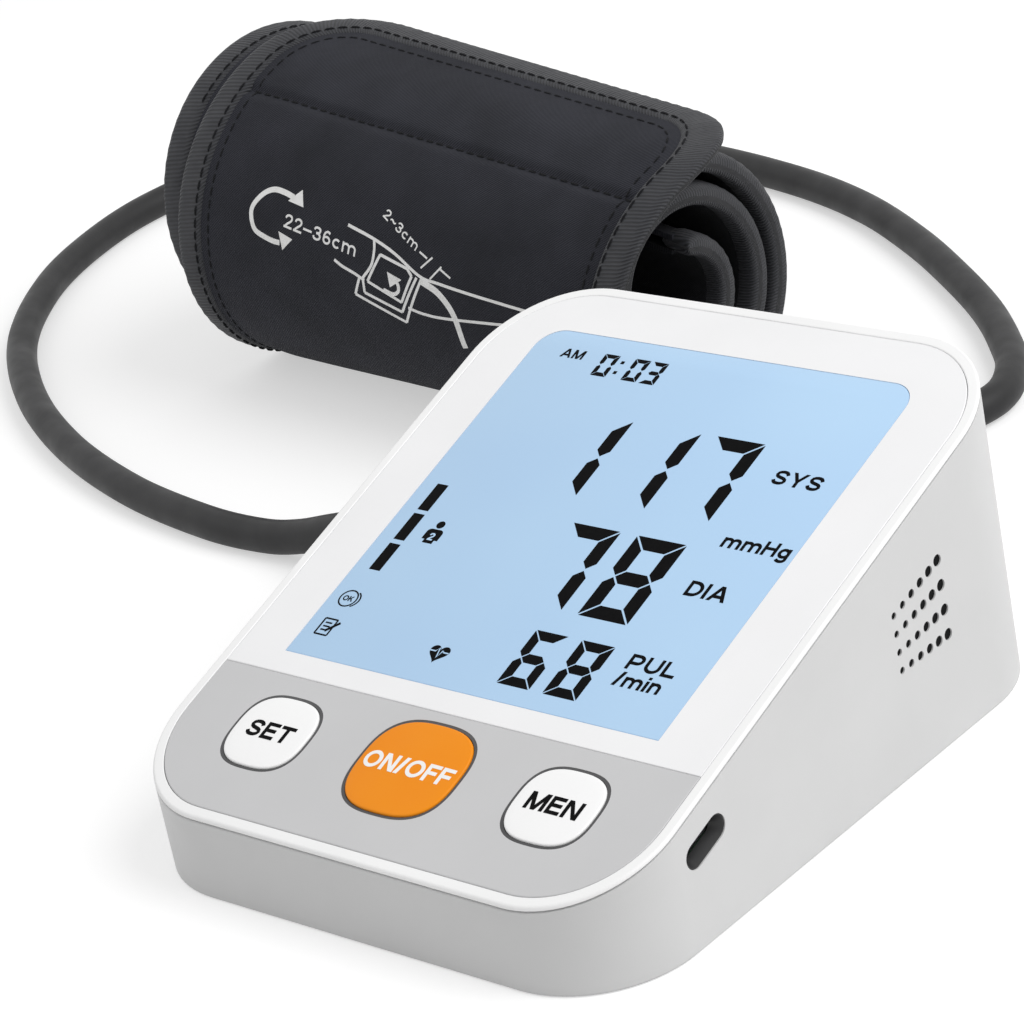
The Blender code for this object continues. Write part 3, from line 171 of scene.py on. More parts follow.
def grid_faces(rows, columns, wrap=False):
    """Quads between neighbouring rows and columns of a grid, joined round where the columns wrap."""
    row = np.arange(rows - 1)[:, None] * columns
    column = np.arange(columns if wrap else columns - 1)[None, :]
    beside = (column + 1) % columns
    corners = [row + column, row + beside, row + columns + beside, row + columns + column]
    return np.stack(corners, axis=-1).reshape(-1, 4).tolist()


def make_object(name, points, faces, sharp=SHARP, outward=True):
    """A mesh object with its faces outward, smooth except across edges over the sharp angle."""
    mesh = bpy.data.meshes.new(name)
    mesh.from_pydata(np.reshape(points, (-1, 3)).tolist(), [], faces)
    if outward:
        turn_outward(mesh)
    mesh.shade_smooth()
    mesh.set_sharp_from_angle(angle=math.radians(sharp))
    obj = bpy.data.objects.new(name, mesh)
    bpy.context.scene.collection.objects.link(obj)
    return obj


def turn_outward(mesh):
    bm = bmesh.new()
    bm.from_mesh(mesh)
    bmesh.ops.recalc_face_normals(bm, faces=bm.faces)
    if bm.calc_volume(signed=True) < 0:
        bmesh.ops.reverse_faces(bm, faces=bm.faces)
    bm.to_mesh(mesh)
    bm.free()


def stack_faces(count, around):
    """Faces of a stack of rings, with a flat cap on the first and the last."""
    last = (count - 1) * around
    return grid_faces(count, around, wrap=True) + [[*range(around)], [*range(last, last + around)]]


def loft(name, rings, sharp=SHARP):
    """A closed body through a stack of like rings, capped at both ends."""
    rings = np.asarray(rings)
    return make_object(name, rings, stack_faces(*rings.shape[:2]), sharp)


def hoop(name, rings, sharp=SHARP):
    """A closed ring-shaped body through a loop of like outlines."""
    rings = np.asarray(rings)
    count, around = rings.shape[:2]
    faces = np.array(grid_faces(count + 1, around, wrap=True)) % (count * around)
    return make_object(name, rings, faces.tolist(), sharp)


def slab(name, top, bottom, flat=None, sharp=50):
    """A closed body between two like grids of points, with a skirt round their edges."""
    rows, columns = top.shape[:2]
    index = np.arange(rows * columns).reshape(rows, columns)
    upper = grid_faces(rows, columns)
    shift = rows * columns
    lower = [[i + shift for i in face] for face in upper]
    edge = np.concatenate([index[0, :-1], index[:-1, -1], index[-1, :0:-1], index[:0:-1, 0]])
    ahead = np.roll(edge, -1)
    skirt = np.stack([edge, ahead, ahead + shift, edge + shift], axis=-1).tolist()
    obj = make_object(name, np.concatenate([top, bottom]), upper + lower + skirt, sharp)
    if flat is not None:
        set_flat_map(obj.data, np.concatenate([flat, flat]).reshape(-1, 2))
    return obj


def set_flat_map(mesh, flat):
    """A UV map that holds each point's place on the flat cloth, in metres."""
    corners = np.empty(len(mesh.loops), dtype=np.int32)
    mesh.loops.foreach_get("vertex_index", corners)
    layer = mesh.uv_layers.new(name="flat")
    layer.data.foreach_set("uv", flat[corners].astype(np.float32).ravel())


def cut(obj, cutters):
    """Takes the cutters' shapes out of an object and removes them."""
    for cutter in cutters:
        modifier = obj.modifiers.new("cut", "BOOLEAN")
        modifier.object = cutter
    evaluated = obj.evaluated_get(bpy.context.evaluated_depsgraph_get())
    mesh = bpy.data.meshes.new_from_object(evaluated)
    obj.modifiers.clear()
    obj.data = mesh
    for cutter in cutters:
        bpy.data.objects.remove(cutter)
    mesh.shade_smooth()
    mesh.set_sharp_from_angle(angle=math.radians(SHARP))


def place_piece(obj, material, nodes=(), body=BODY):
    """Gives a finished piece its material and body, and hides the model's nodes that it stands for."""
    obj.data.materials.clear()
    obj.data.materials.append(material)
    if body:
        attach(obj, body)
    if nodes:
        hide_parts(*nodes)
    return obj


def even_shading(obj):
    """Keeps flat faces flat where they meet a rounded edge."""
    modifier = obj.modifiers.new("even_shading", "WEIGHTED_NORMAL")
    modifier.keep_sharp = True


def plan_outline(inset):
    """Rounded rectangle of the case, seen from above and inset: four quarter arcs, anticlockwise."""
    half = (CASE_HIGH[:2] - CASE_LOW[:2]) / 2
    quarter = np.arange(4)[:, None]
    angle = math.pi / 2 * (quarter + np.linspace(0, 1, CORNER_STEPS + 1)[None, :])
    centre = np.sign(compass(angle.mean(axis=1))) * (half - CORNER_RADIUS)
    return (centre[:, None, :] + compass(angle) * (CORNER_RADIUS - inset)).reshape(-1, 2)


def compass(angle):
    """Points of the unit circle at the given angles."""
    return np.stack([np.cos(angle), np.sin(angle)], axis=-1)


def whole_turn(count):
    """Even angles round a whole turn."""
    return np.linspace(0, 2 * math.pi, count, endpoint=False)


def tilting(angle):
    """What turns rows of flat points by an angle."""
    return np.array([[math.cos(angle), math.sin(angle)], [-math.sin(angle), math.cos(angle)]])


def at_height(outline, z):
    return np.column_stack([outline, np.full(len(outline), z)])


def under_face(outline, depth):
    """A plan outline lifted to the sloping face, then lowered by a depth square to it."""
    rise = (outline[:, 1] - CASE_LOW[1]) * math.tan(FACE_ANGLE)
    return np.column_stack([outline, FRONT_HEIGHT + rise - depth / math.cos(FACE_ANGLE)])


def on_face(x, v, out=0.0):
    """Points in the face's own frame: x to the right, v up the slope, out square to the face."""
    x, v, out = np.broadcast_arrays(x, v, out)
    y = CASE_LOW[1] + v * math.cos(FACE_ANGLE) - out * math.sin(FACE_ANGLE)
    z = FRONT_HEIGHT + v * math.sin(FACE_ANGLE) + out * math.cos(FACE_ANGLE)
    return np.stack([x, y, z], axis=-1)


def quarter_round(radius, steps=5):
    """Two sizes of a rounded edge: how far in from the side, and how far down from the top."""
    angle = np.linspace(0, math.pi / 2, steps)
    return list(zip(radius * (1 - np.cos(angle)), radius * (1 - np.sin(angle))))


def superellipse(width, height, count=96):
    """A soft rectangle, where the powers of the two shares of its half sides add up to 1."""
    way = compass(whole_turn(count))
    reach = (np.abs(way) ** BUTTON_POWER).sum(axis=1, keepdims=True) ** (-1 / BUTTON_POWER)
    return np.array([width / 2, height / 2]) * way * reach


def turned(name, profile, start, along, sides=64, sharp=SHARP):
    """A profile of (radius, place along the axis) turned round an axis through a start point."""
    axis = np.array(Vector(along).normalized())
    side = np.array(Vector(along).orthogonal().normalized())
    other = np.cross(axis, side)
    spoke = compass(whole_turn(sides)) @ np.stack([side, other])
    radius, place = np.array(profile, float).T
    rings = np.array(start) + radius[:, None, None] * spoke + place[:, None, None] * axis
    return loft(name, rings, sharp)


# Materials. Each starts from the real stuff; sizes in the patterns are real ones in metres.

PATCH_ENDS = (0.3, 0.7)
LCD_GLOW = 0.1
LCD_LINE = 0.5 * MM
TAPE_RIB = 0.9 * MM
THREAD = 0.7 * MM
CROSS_THREAD = 0.35
CELL_ENDS = (5 * MM, 65 * MM)


def new_material(name):
    """A Principled material: itself, its tree, its shader and its Object coordinates."""
    material = bpy.data.materials.new(name)
    material.use_nodes = True
    tree = material.node_tree
    places = add_node(tree, "ShaderNodeTexCoord").outputs["Object"]
    return material, tree, tree.nodes["Principled BSDF"], places


def settle(shader, **values):
    """Sets inputs of a shader, named with underscores for their spaces."""
    for key, value in values.items():
        shader.inputs[key.replace("_", " ")].default_value = value


def colour_between(tree, shader, share, low, high, ends=(0.0, 1.0), change="LINEAR"):
    """Base colour that goes from one shade to another while a share goes from one end to the other."""
    ramp = add_node(tree, "ShaderNodeValToRGB", {"Fac": share})
    ramp.color_ramp.interpolation = change
    for element, place, shade in zip(ramp.color_ramp.elements, ends, (low, high)):
        element.position = place
        element.color = hex_colour(shade)
    tree.links.new(ramp.outputs["Color"], shader.inputs["Base Color"])
    return ramp.outputs["Color"]


def vary_colour(tree, shader, vector, low, high, size, detail=3.0):
    """Base colour that drifts between two near shades in soft patches of a real size."""
    noise = add_node(tree, "ShaderNodeTexNoise", {"Vector": vector, "Scale": 1 / size, "Detail": detail})
    return colour_between(tree, shader, noise.outputs["Fac"], low, high, PATCH_ENDS)


def vary_roughness(tree, shader, vector, low, high, size):
    """Roughness that drifts between two values, as handling and the mould leave it."""
    noise = add_node(tree, "ShaderNodeTexNoise", {"Vector": vector, "Scale": 1 / size, "Detail": 4.0})
    start, end = PATCH_ENDS
    limits = {"Value": noise.outputs["Fac"], "From Min": start, "From Max": end}
    limits |= {"To Min": low, "To Max": high}
    spread = add_node(tree, "ShaderNodeMapRange", limits)
    tree.links.new(spread.outputs["Result"], shader.inputs["Roughness"])


def waves(tree, place, pitch):
    """A sine of a place, from -1 to 1, with a real pitch."""
    phase = add_node(tree, "ShaderNodeMath", {0: place, 1: 2 * math.pi / pitch}, operation="MULTIPLY")
    return add_node(tree, "ShaderNodeMath", {0: phase.outputs[0]}, operation="SINE").outputs[0]


def flat_places(tree):
    """Places along the two axes of the flat cloth."""
    flat = add_node(tree, "ShaderNodeUVMap", uv_map="flat").outputs["UV"]
    apart = add_node(tree, "ShaderNodeSeparateXYZ", {"Vector": flat})
    return apart.outputs["X"], apart.outputs["Y"]


def add_bump(tree, shader, height, depth, strength=1.0):
    """Surface relief of a real depth, on top of any relief that the shader already has."""
    inputs = {"Height": height, "Distance": depth, "Strength": strength}
    links = shader.inputs["Normal"].links
    if links:
        inputs["Normal"] = links[0].from_socket
    bump = add_node(tree, "ShaderNodeBump", inputs)
    tree.links.new(bump.outputs["Normal"], shader.inputs["Normal"])


def moulded_plastic(name, low, high, roughness, grain, relief, gloss=0.5):
    """ABS from a mould: an even colour, a fine spark-eroded grain and a soft broad sheen."""
    material, tree, shader, places = new_material(name)
    vary_colour(tree, shader, places, low, high, 25 * MM)
    vary_roughness(tree, shader, places, roughness - 0.05, roughness + 0.05, 9 * MM)
    settle(shader, IOR=1.53, Specular_IOR_Level=gloss)
    noise = {"Vector": places, "Scale": 1 / grain, "Detail": 2.0, "Roughness": 0.6}
    grit = add_node(tree, "ShaderNodeTexNoise", noise)
    add_bump(tree, shader, grit.outputs["Fac"], relief)
    return material


def backlit_lcd():
    """Reflective polariser of an LCD over a pale blue light guide: even, lit from behind, a faint drift."""
    material, tree, shader, places = new_material("lcd_polariser_film")
    colour = vary_colour(tree, shader, places, "#AECDEB", "#B2D1ED", 40 * MM, 1.0)
    settle(shader, Roughness=0.32, IOR=1.49, Specular_IOR_Level=0.25, Emission_Strength=LCD_GLOW)
    tree.links.new(colour, shader.inputs["Emission Color"])
    # The rubbed film's fine vertical lines are drawn coarse, so that they show at all
    apart = add_node(tree, "ShaderNodeSeparateXYZ", {"Vector": places})
    add_bump(tree, shader, waves(tree, apart.outputs["X"], LCD_LINE), 0.001 * MM)
    return material


def ink(name, low, high, roughness):
    """A printed layer: even ink with a slight mottle and a dry surface."""
    material, tree, shader, places = new_material(name)
    vary_colour(tree, shader, places, low, high, 1.5 * MM)
    vary_roughness(tree, shader, places, roughness - 0.06, roughness + 0.06, 0.8 * MM)
    settle(shader, Specular_IOR_Level=0.04)
    return material


def twill(name, low, high, thread, sheen):
    """Woven polyester: diagonal ribs of a twill with the cross threads between them, and a soft sheen.

    It reads the flat map, so the ribs follow the cloth. Real threads are half as far apart: they are
    drawn coarser so that they show.
    """
    material, tree, shader, places = new_material(name)
    sides = dict(enumerate(flat_places(tree)))
    ribs = []
    for operation, pitch in (("ADD", thread), ("SUBTRACT", thread * 0.5)):
        across = add_node(tree, "ShaderNodeMath", sides, operation=operation)
        ribs.append(waves(tree, across.outputs[0], pitch))
    mixed = {0: ribs[1], 1: CROSS_THREAD, 2: ribs[0]}
    weave = add_node(tree, "ShaderNodeMath", mixed, operation="MULTIPLY_ADD")
    most = 1 + CROSS_THREAD
    limits = {"Value": weave.outputs[0], "From Min": -most, "From Max": most}
    height = add_node(tree, "ShaderNodeMapRange", limits).outputs["Result"]
    wear = add_node(tree, "ShaderNodeTexNoise", {"Vector": places, "Scale": 1 / (14 * MM), "Detail": 5.0})
    blend = {0: height, 1: wear.outputs["Fac"]}
    shade = add_node(tree, "ShaderNodeMath", blend, operation="MULTIPLY")
    colour_between(tree, shader, shade.outputs[0], low, high, (0.05, 0.6))
    settle(shader, Roughness=0.8, Specular_IOR_Level=0.12, Sheen_Weight=sheen, Sheen_Roughness=0.45)
    add_bump(tree, shader, height, 0.12 * MM)
    creases = {"Vector": places, "Scale": 1 / (22 * MM), "Detail": 4.0, "Distortion": 0.6}
    folds = add_node(tree, "ShaderNodeTexNoise", creases)
    add_bump(tree, shader, folds.outputs["Fac"], 0.6 * MM, 0.6)
    return material


def ribbed_tape():
    """Grosgrain binding: short ribs across a narrow woven tape, a little glossier than the cloth."""
    material, tree, shader, places = new_material("grosgrain_tape")
    first, second = flat_places(tree)
    slanted = {0: second, 1: 0.6, 2: first}
    along = add_node(tree, "ShaderNodeMath", slanted, operation="MULTIPLY_ADD")
    limits = {"Value": waves(tree, along.outputs[0], TAPE_RIB), "From Min": -1.0}
    height = add_node(tree, "ShaderNodeMapRange", limits).outputs["Result"]
    colour_between(tree, shader, height, "#1E1F22", "#34353A")
    vary_roughness(tree, shader, places, 0.62, 0.78, 6 * MM)
    settle(shader, Sheen_Weight=0.05, Sheen_Roughness=0.4)
    add_bump(tree, shader, height, 0.15 * MM)
    return material


def soft_pile(name, low, high, loop):
    """Brushed loop or hook pile: tiny loops in cells, dull, with a strong soft sheen."""
    material, tree, shader, places = new_material(name)
    vary_colour(tree, shader, places, low, high, 3 * MM)
    settle(shader, Roughness=0.9, Sheen_Weight=0.25)
    cells = add_node(tree, "ShaderNodeTexVoronoi", {"Vector": places, "Scale": 1 / loop})
    add_bump(tree, shader, cells.outputs["Distance"], 0.3 * MM)
    return material


def rubber(name, low, high, roughness, grain):
    """Moulded or extruded rubber: near black, bloom that greys it in patches, a broad soft highlight."""
    material, tree, shader, places = new_material(name)
    vary_colour(tree, shader, places, low, high, 18 * MM, 5.0)
    vary_roughness(tree, shader, places, roughness - 0.06, roughness + 0.08, 7 * MM)
    settle(shader, Specular_IOR_Level=0.35)
    grit = add_node(tree, "ShaderNodeTexNoise", {"Vector": places, "Scale": 1 / grain, "Detail": 3.0})
    add_bump(tree, shader, grit.outputs["Fac"], 0.02 * MM)
    return material


def drawn_steel():
    """Nickel-plated steel: bright metal with fine drawing lines and slight dulling."""
    material, tree, shader, places = new_material("plated_steel")
    vary_colour(tree, shader, places, "#B9B9BC", "#CFCFD1", 5 * MM)
    settle(shader, Metallic=1.0)
    vary_roughness(tree, shader, places, 0.25, 0.42, 2 * MM)
    stretch = {"Vector": places, "Scale": (1.0, 1.0, 0.08)}
    lines = add_node(tree, "ShaderNodeMapping", stretch).outputs["Vector"]
    scratch = add_node(tree, "ShaderNodeTexNoise", {"Vector": lines, "Scale": 1 / (0.3 * MM), "Detail": 2.0})
    add_bump(tree, shader, scratch.outputs["Fac"], 0.01 * MM)
    return material


def clear_plastic(name, low, high, roughness, passing):
    """Cast silicone, acrylic or film: cloudy colour with some light passing through."""
    material, tree, shader, places = new_material(name)
    vary_colour(tree, shader, places, low, high, 8 * MM)
    vary_roughness(tree, shader, places, roughness, roughness + 0.12, 5 * MM)
    settle(shader, Transmission_Weight=passing, IOR=1.43)
    return material


def circuit_board():
    """Glass epoxy board: green solder mask with lighter copper runs under it."""
    material, tree, shader, places = new_material("solder_mask_board")
    runs = {"Vector": places, "Scale": 1 / (6 * MM), "Randomness": 0.7}
    cells = add_node(tree, "ShaderNodeTexVoronoi", runs, distance="MANHATTAN", feature="F1")
    colour_between(tree, shader, cells.outputs["Distance"], "#1F6B3A", "#2C8049", (0.0, 0.5), "CONSTANT")
    vary_roughness(tree, shader, places, 0.3, 0.45, 4 * MM)
    add_bump(tree, shader, cells.outputs["Distance"], 0.03 * MM)
    return material


def cell_sleeve():
    """Printed shrink sleeve of an AA cell: dark green with a lighter band towards one end."""
    material, tree, shader, places = new_material("cell_sleeve_film")
    apart = add_node(tree, "ShaderNodeSeparateXYZ", {"Vector": places})
    limits = {"Value": apart.outputs["Y"], "From Min": CELL_ENDS[0], "From Max": CELL_ENDS[1]}
    share = add_node(tree, "ShaderNodeMapRange", limits).outputs["Result"]
    colour_between(tree, shader, share, "#2E6B46", "#C9B26A", (0.0, 0.7), "CONSTANT")
    vary_roughness(tree, shader, places, 0.25, 0.4, 6 * MM)
    return material


GREY_ABS = moulded_plastic("moulded_grey_abs", "#D1D1D1", "#D5D5D5", 0.5, 0.35 * MM, 0.012 * MM)
WHITE_ABS = moulded_plastic("moulded_white_abs", "#F8F8F8", "#FCFCFC", 0.42, 0.3 * MM, 0.006 * MM)
WHITE_PANEL = moulded_plastic("white_panel_lacquer", "#F5F5F6", "#F9F9FA", 0.4, 0.25 * MM, 0.004 * MM)
GREY_PANEL = moulded_plastic("grey_panel_lacquer", "#C9C9CA", "#CDCDCE", 0.45, 0.25 * MM, 0.004 * MM)
WHITE_BUTTON = moulded_plastic("white_button_abs", "#FDFDFD", "#FFFFFF", 0.38, 0.25 * MM, 0.003 * MM)
ORANGE_BUTTON = moulded_plastic("orange_button_abs", "#F58E0A", "#F8960F", 0.45, 0.25 * MM, 0.003 * MM, 0.2)
BLACK_ABS = moulded_plastic("black_moulded_abs", "#1D1D1E", "#262627", 0.5, 0.3 * MM, 0.01 * MM)
LCD = backlit_lcd()
LCD_INK = ink("lcd_segment_black", "#020203", "#060607", 0.5)
BLACK_INK = ink("black_pad_print", "#060606", "#0E0E0F", 0.6)
WHITE_INK = ink("white_pad_print", "#F6F6F4", "#FDFDFC", 0.5)
CUFF_INK = ink("white_screen_print", "#F2F2F0", "#FFFFFF", 0.75)
NYLON = twill("black_polyester_twill", "#222328", "#3B3C44", THREAD, 0.04)
LINING = twill("black_lining_twill", "#131416", "#25262A", THREAD, 0.04)
TAPE = ribbed_tape()
STITCH = twill("black_sewing_thread", "#17181A", "#2A2B30", 0.25 * MM, 0.05)
PILE = soft_pile("black_hook_pile", "#18191B", "#2B2C2F", 0.6 * MM)
MESH = moulded_plastic("black_speaker_mesh", "#0B0B0C", "#151516", 0.8, 0.3 * MM, 0.05 * MM, 0.1)
HOSE_RUBBER = rubber("extruded_black_rubber", "#1D1D1E", "#282829", 0.5, 0.4 * MM)
# Painted shade: dark colour of the rings that darken the gaps round the buttons
GAP_SHADE = rubber("painted_gap_shade", "#4A4A4B", "#565657", 0.6, 0.3 * MM)
FOOT_RUBBER = rubber("moulded_foot_rubber", "#242425", "#303031", 0.7, 0.5 * MM)
STEEL = drawn_steel()
SILICONE = clear_plastic("cast_grey_silicone", "#B9BCBB", "#C6C8C7", 0.45, 0.1)
GLASS = clear_plastic("lcd_glass_sheet", "#B9C9CC", "#C4D2D4", 0.08, 0.6)
DIFFUSER = clear_plastic("acrylic_light_guide", "#EDEDEA", "#F4F4F2", 0.4, 0.2)
FILM = clear_plastic("bladder_tpu_film", "#8C8F93", "#9DA0A3", 0.3, 0.2)
BOARD = circuit_board()
CELL = cell_sleeve()

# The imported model's nodes that stay as they are, hidden ones too, by their finish
NODE_FINISHES = {
    "light_grey_abs": GREY_ABS,
    "white_abs": WHITE_ABS,
    "grey_panel": GREY_PANEL,
    "display_lens": LCD,
    "lcd_glass": GLASS,
    "diffuser": DIFFUSER,
    "white_button": WHITE_BUTTON,
    "orange_button": ORANGE_BUTTON,
    "silicone": SILICONE,
    "circuit_board": BOARD,
    "black_plastic": BLACK_ABS,
    "steel": STEEL,
    "cell_sleeve": CELL,
    "rubber_foot": FOOT_RUBBER,
    "black_nylon": PILE,
    "binding_tape": PILE,
    "bladder_film": FILM,
    "hose_rubber": HOSE_RUBBER,
}


def finish_nodes():
    """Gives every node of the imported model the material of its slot."""
    for subpart in frame["record"]["subparts"]:
        obj = frame["nodes"][subpart["node"]]
        obj.data.materials.clear()
        obj.data.materials.append(NODE_FINISHES[subpart["material_slot"]])


# Console


def disc(radius, count=40):
    return compass(whole_turn(count)) * radius


def pill(length, height, steps=16):
    """A slot's outline: two half circles joined by straight sides."""
    half_turn = compass(np.linspace(-math.pi / 2, math.pi / 2, steps))
    right = half_turn * height / 2 + [(length - height) / 2, 0]
    return np.concatenate([right, -right])


def box_outline(low, high):
    return np.array([[low[0], low[1]], [high[0], low[1]], [high[0], high[1]], [low[0], high[1]]])


def wall_points(outline, x, centre, tilt=0.0):
    """An outline laid on a side wall at x: its first axis runs back along the wall, its second up."""
    spot = outline @ tilting(tilt) + centre
    return np.column_stack([np.full(len(spot), x), spot])


def through_wall(name, outline, wall_x, centre, tilt=0.0):
    """A cutter that goes through a side wall."""
    reach = 2 * WALL
    return loft(name, [wall_points(outline, x, centre, tilt) for x in (wall_x - reach, wall_x + reach)])


def through_floor(name, outline, top):
    return loft(name, [at_height(outline, z) for z in (-FLOOR, top)])


def speaker_holes(shrink=0.0):
    """Outline and middle of each speaker hole: they grow and fan out towards the back."""
    columns = (np.linspace(*ends, HOLE_COLUMNS) for ends in (HOLES_Y, HOLES_HIGH, HOLE_RADIUS))
    for y, top, radius in zip(*columns):
        for z in np.linspace(HOLES_LOW, top, HOLE_ROWS):
            yield disc(radius - shrink, HOLE_SIDES), (y, z)


def wall_cutters():
    """The speaker holes, the charging slot and the jack's hole."""
    cutters = [through_wall("cut_speaker_hole", hole, CASE_HIGH[0], spot) for hole, spot in speaker_holes()]
    cutters.append(through_wall("cut_slot", pill(*SLOT_SIZE), CASE_HIGH[0], SLOT_PLACE, FACE_ANGLE))
    cutters.append(through_wall("cut_jack", disc(JACK_HOLE), CASE_LOW[0], (JACK_Y, JACK_Z)))
    return cutters


def floor_cutters():
    """The battery opening, and the pockets of the feet and the case screws."""
    low, high = np.array(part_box("battery_door"))
    cutters = [through_floor("cut_battery", box_outline(low - DOOR_GAP, high + DOOR_GAP), 2 * FLOOR)]
    for middle in foot_middles():
        cutters.append(through_floor("cut_foot", disc(FOOT_RADIUS + LAP_GAP) + middle, FOOT_POCKET))
    radius, depth = SCREW_WELL
    for place in SCREW_PLACES:
        cutters.append(through_floor("cut_screw", disc(radius) + np.array(place) * MM, depth))
    return cutters


def foot_middles():
    """Middles of the four feet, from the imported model."""
    return [np.mean(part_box(f"foot_{index}"), axis=0)[:2] for index in range(1, 5)]


def lower_case():
    """Tub: rings go out over the floor, round its edge, up the wall, over the lap and down inside."""
    rings = [at_height(plan_outline(BASE_ROUND), 0)]
    for inset, drop in reversed(quarter_round(BASE_ROUND)[:-1]):
        rings.append(at_height(plan_outline(inset), drop))
    for inset, drop in quarter_round(EDGE_ROUND, 3):
        rings.append(under_face(plan_outline(inset), LIP + SEAM + drop))
    for inset, depth in ((LAP, LIP + SEAM), (LAP, FRAME_THICK + SEAM), (WALL, FRAME_THICK + SEAM)):
        rings.append(under_face(plan_outline(inset), depth))
    rings.append(at_height(plan_outline(WALL), FLOOR))
    case = loft("lower_case_shell", rings)
    cut(case, wall_cutters() + floor_cutters())
    even_shading(case)
    place_piece(case, GREY_ABS, ["lower_case"])


def window_outline(grow=0.0, steps=12):
    """Display window on the face: square corners at the bottom, round ones at the top."""
    low, high = lens_span()
    corner = compass(np.linspace(0, math.pi / 2, steps)) * (WINDOW_ROUND + grow)
    right_arc = corner + [high[0] - WINDOW_ROUND, high[1] - WINDOW_ROUND]
    left_arc = corner[::-1] * [-1, 1] + [low[0] + WINDOW_ROUND, high[1] - WINDOW_ROUND]
    corners = [[low[0] - grow, low[1] - grow], [high[0] + grow, low[1] - grow]]
    return np.concatenate([corners, right_arc, left_arc])


def lens_span():
    """The window's lowest and highest x and v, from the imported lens, whose front lies in the face."""
    low, high = np.array(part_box("display_lens"))
    slope = math.sin(FACE_ANGLE)
    top = (high[2] - FRONT_HEIGHT) / slope
    bottom = (low[1] - CASE_LOW[1]) / math.cos(FACE_ANGLE)
    return (low[0], bottom), (high[0], top)


def through_face(name, outline):
    depths = (-2 * FRAME_THICK, FRAME_THICK)
    return loft(name, [on_face(*outline.T, out) for out in depths])


def button_cutters():
    cutters = []
    for x, width, height, _ in BUTTON_SIZES.values():
        hole = superellipse(width + 2 * BUTTON_GAP, height + 2 * BUTTON_GAP) + [x, BUTTON_V]
        cutters.append(through_face("cut_button", hole))
    return cutters


def face_frame():
    """Lid: rings go from under the deck out to the lip, over the rounded rim and down to the deck."""
    inner = LAP + LAP_GAP
    rings = [under_face(plan_outline(inset), depth) for inset, depth in ((inner, FRAME_THICK), (inner, LIP))]
    for inset, drop in quarter_round(EDGE_ROUND, 3)[::-1]:
        rings.append(under_face(plan_outline(inset), LIP - drop))
    for inset, drop in quarter_round(RIM_ROUND):
        rings.append(under_face(plan_outline(inset), drop))
    for inset, drop in quarter_round(EDGE_ROUND)[::-1]:
        rings.append(under_face(plan_outline(RIM - inset), drop))
    rings.append(under_face(plan_outline(RIM), PANEL_THICK + PANEL_GAP))
    lid = loft("face_frame_lid", rings)
    cut(lid, button_cutters() + [through_face("cut_window", window_outline(-PANEL_THICK))])
    even_shading(lid)
    place_piece(lid, WHITE_ABS, ["face_frame"])


def panel_outline(shrink, rear):
    """Half of the face's recess, in front of or behind the split, with two corners of the case's curve."""
    outline = plan_outline(RIM + PANEL_GAP + shrink)
    split = CASE_LOW[1] + PANEL_SPLIT * math.cos(FACE_ANGLE)
    edge = PANEL_GAP / 2 + shrink
    side = outline[:, 0].max()
    half = outline[: len(outline) // 2] if rear else outline[len(outline) // 2 :]
    y = split + edge if rear else split - edge
    ends = [[-side, y], [side, y]] if rear else [[side, y], [-side, y]]
    return np.concatenate([half, ends])


def face_panel(name, rear, cutters, material, node):
    """A panel set into the recess, its top edge slightly rounded."""
    rings = [under_face(panel_outline(0, rear), PANEL_THICK)]
    for inset, drop in quarter_round(EDGE_ROUND, 4):
        rings.append(under_face(panel_outline(inset, rear), drop))
    panel = loft(name, rings)
    cut(panel, cutters)
    even_shading(panel)
    place_piece(panel, material, [node])


def display_lens():
    """Window plate, flush with the panel, with a fine rounded edge."""
    rings = []
    for grow, out in LENS_EDGE:
        rings.append(on_face(*window_outline(grow).T, out))
    lens = loft("display_lens_plate", rings)
    place_piece(lens, LCD, ["display_lens"])


def button_top(x, v, width, height):
    """Height of a button's crowned top: highest at the middle, lower towards its outline."""
    reach = np.abs(2 * x / width) ** 2 + np.abs(2 * v / height) ** 2
    return BUTTON_PROUD - BUTTON_CROWN * np.clip(reach, 0, 1.2)


def push_button(name, x, width, height):
    """Soft rectangle with a retaining lip inside the case, a rounded edge and a crowned top."""
    rings = []
    for grow, depth in zip((BUTTON_LIP, BUTTON_LIP, 0), (*LIP_DEPTHS, LIP_DEPTHS[1])):
        first, second = superellipse(width + 2 * grow, height + 2 * grow).T
        rings.append(on_face(first + x, second + BUTTON_V, -depth))
    levels = [(1.0, inset, drop) for inset, drop in quarter_round(BUTTON_EDGE, 6)]
    levels += [(share, BUTTON_EDGE, 0.0) for share in CROWN_RINGS]
    for share, inset, drop in levels:
        first, second = superellipse((width - 2 * inset) * share, (height - 2 * inset) * share).T
        out = button_top(first, second, width, height) - drop
        rings.append(on_face(first + x, second + BUTTON_V, out))
    return loft(f"{name}_cap", rings)


def on_button(x, width, height):
    """Lays millimetres from a button's middle on its crowned top."""

    def lay(first, second, out):
        top = button_top(first * MM, second * MM, width, height)
        return on_face(first * MM + x, second * MM + BUTTON_V, top + out)

    return lay


def buttons():
    """The three buttons with their printed words, each in a dark ring set into the panel: painted shade down
    the gap round it.
    """
    for name, (x, width, height, text) in BUTTON_SIZES.items():
        power = name == "button_power"
        cap = push_button(name, x, width, height)
        place_piece(cap, ORANGE_BUTTON if power else WHITE_BUTTON, [name], name)
        lay = on_button(x, width, height)
        shapes = word(text, (0, 0), LETTER_HEIGHT, WORD_WIDTHS[text], lay, PRINT_THICK)
        place_piece(marks(f"{name}_word", shapes), WHITE_INK if power else BLACK_INK, body=name)
        # Painted shade: a dark ring in the gap round the button
        gap_shade_ring(f"{name}_ring", x, width, height)


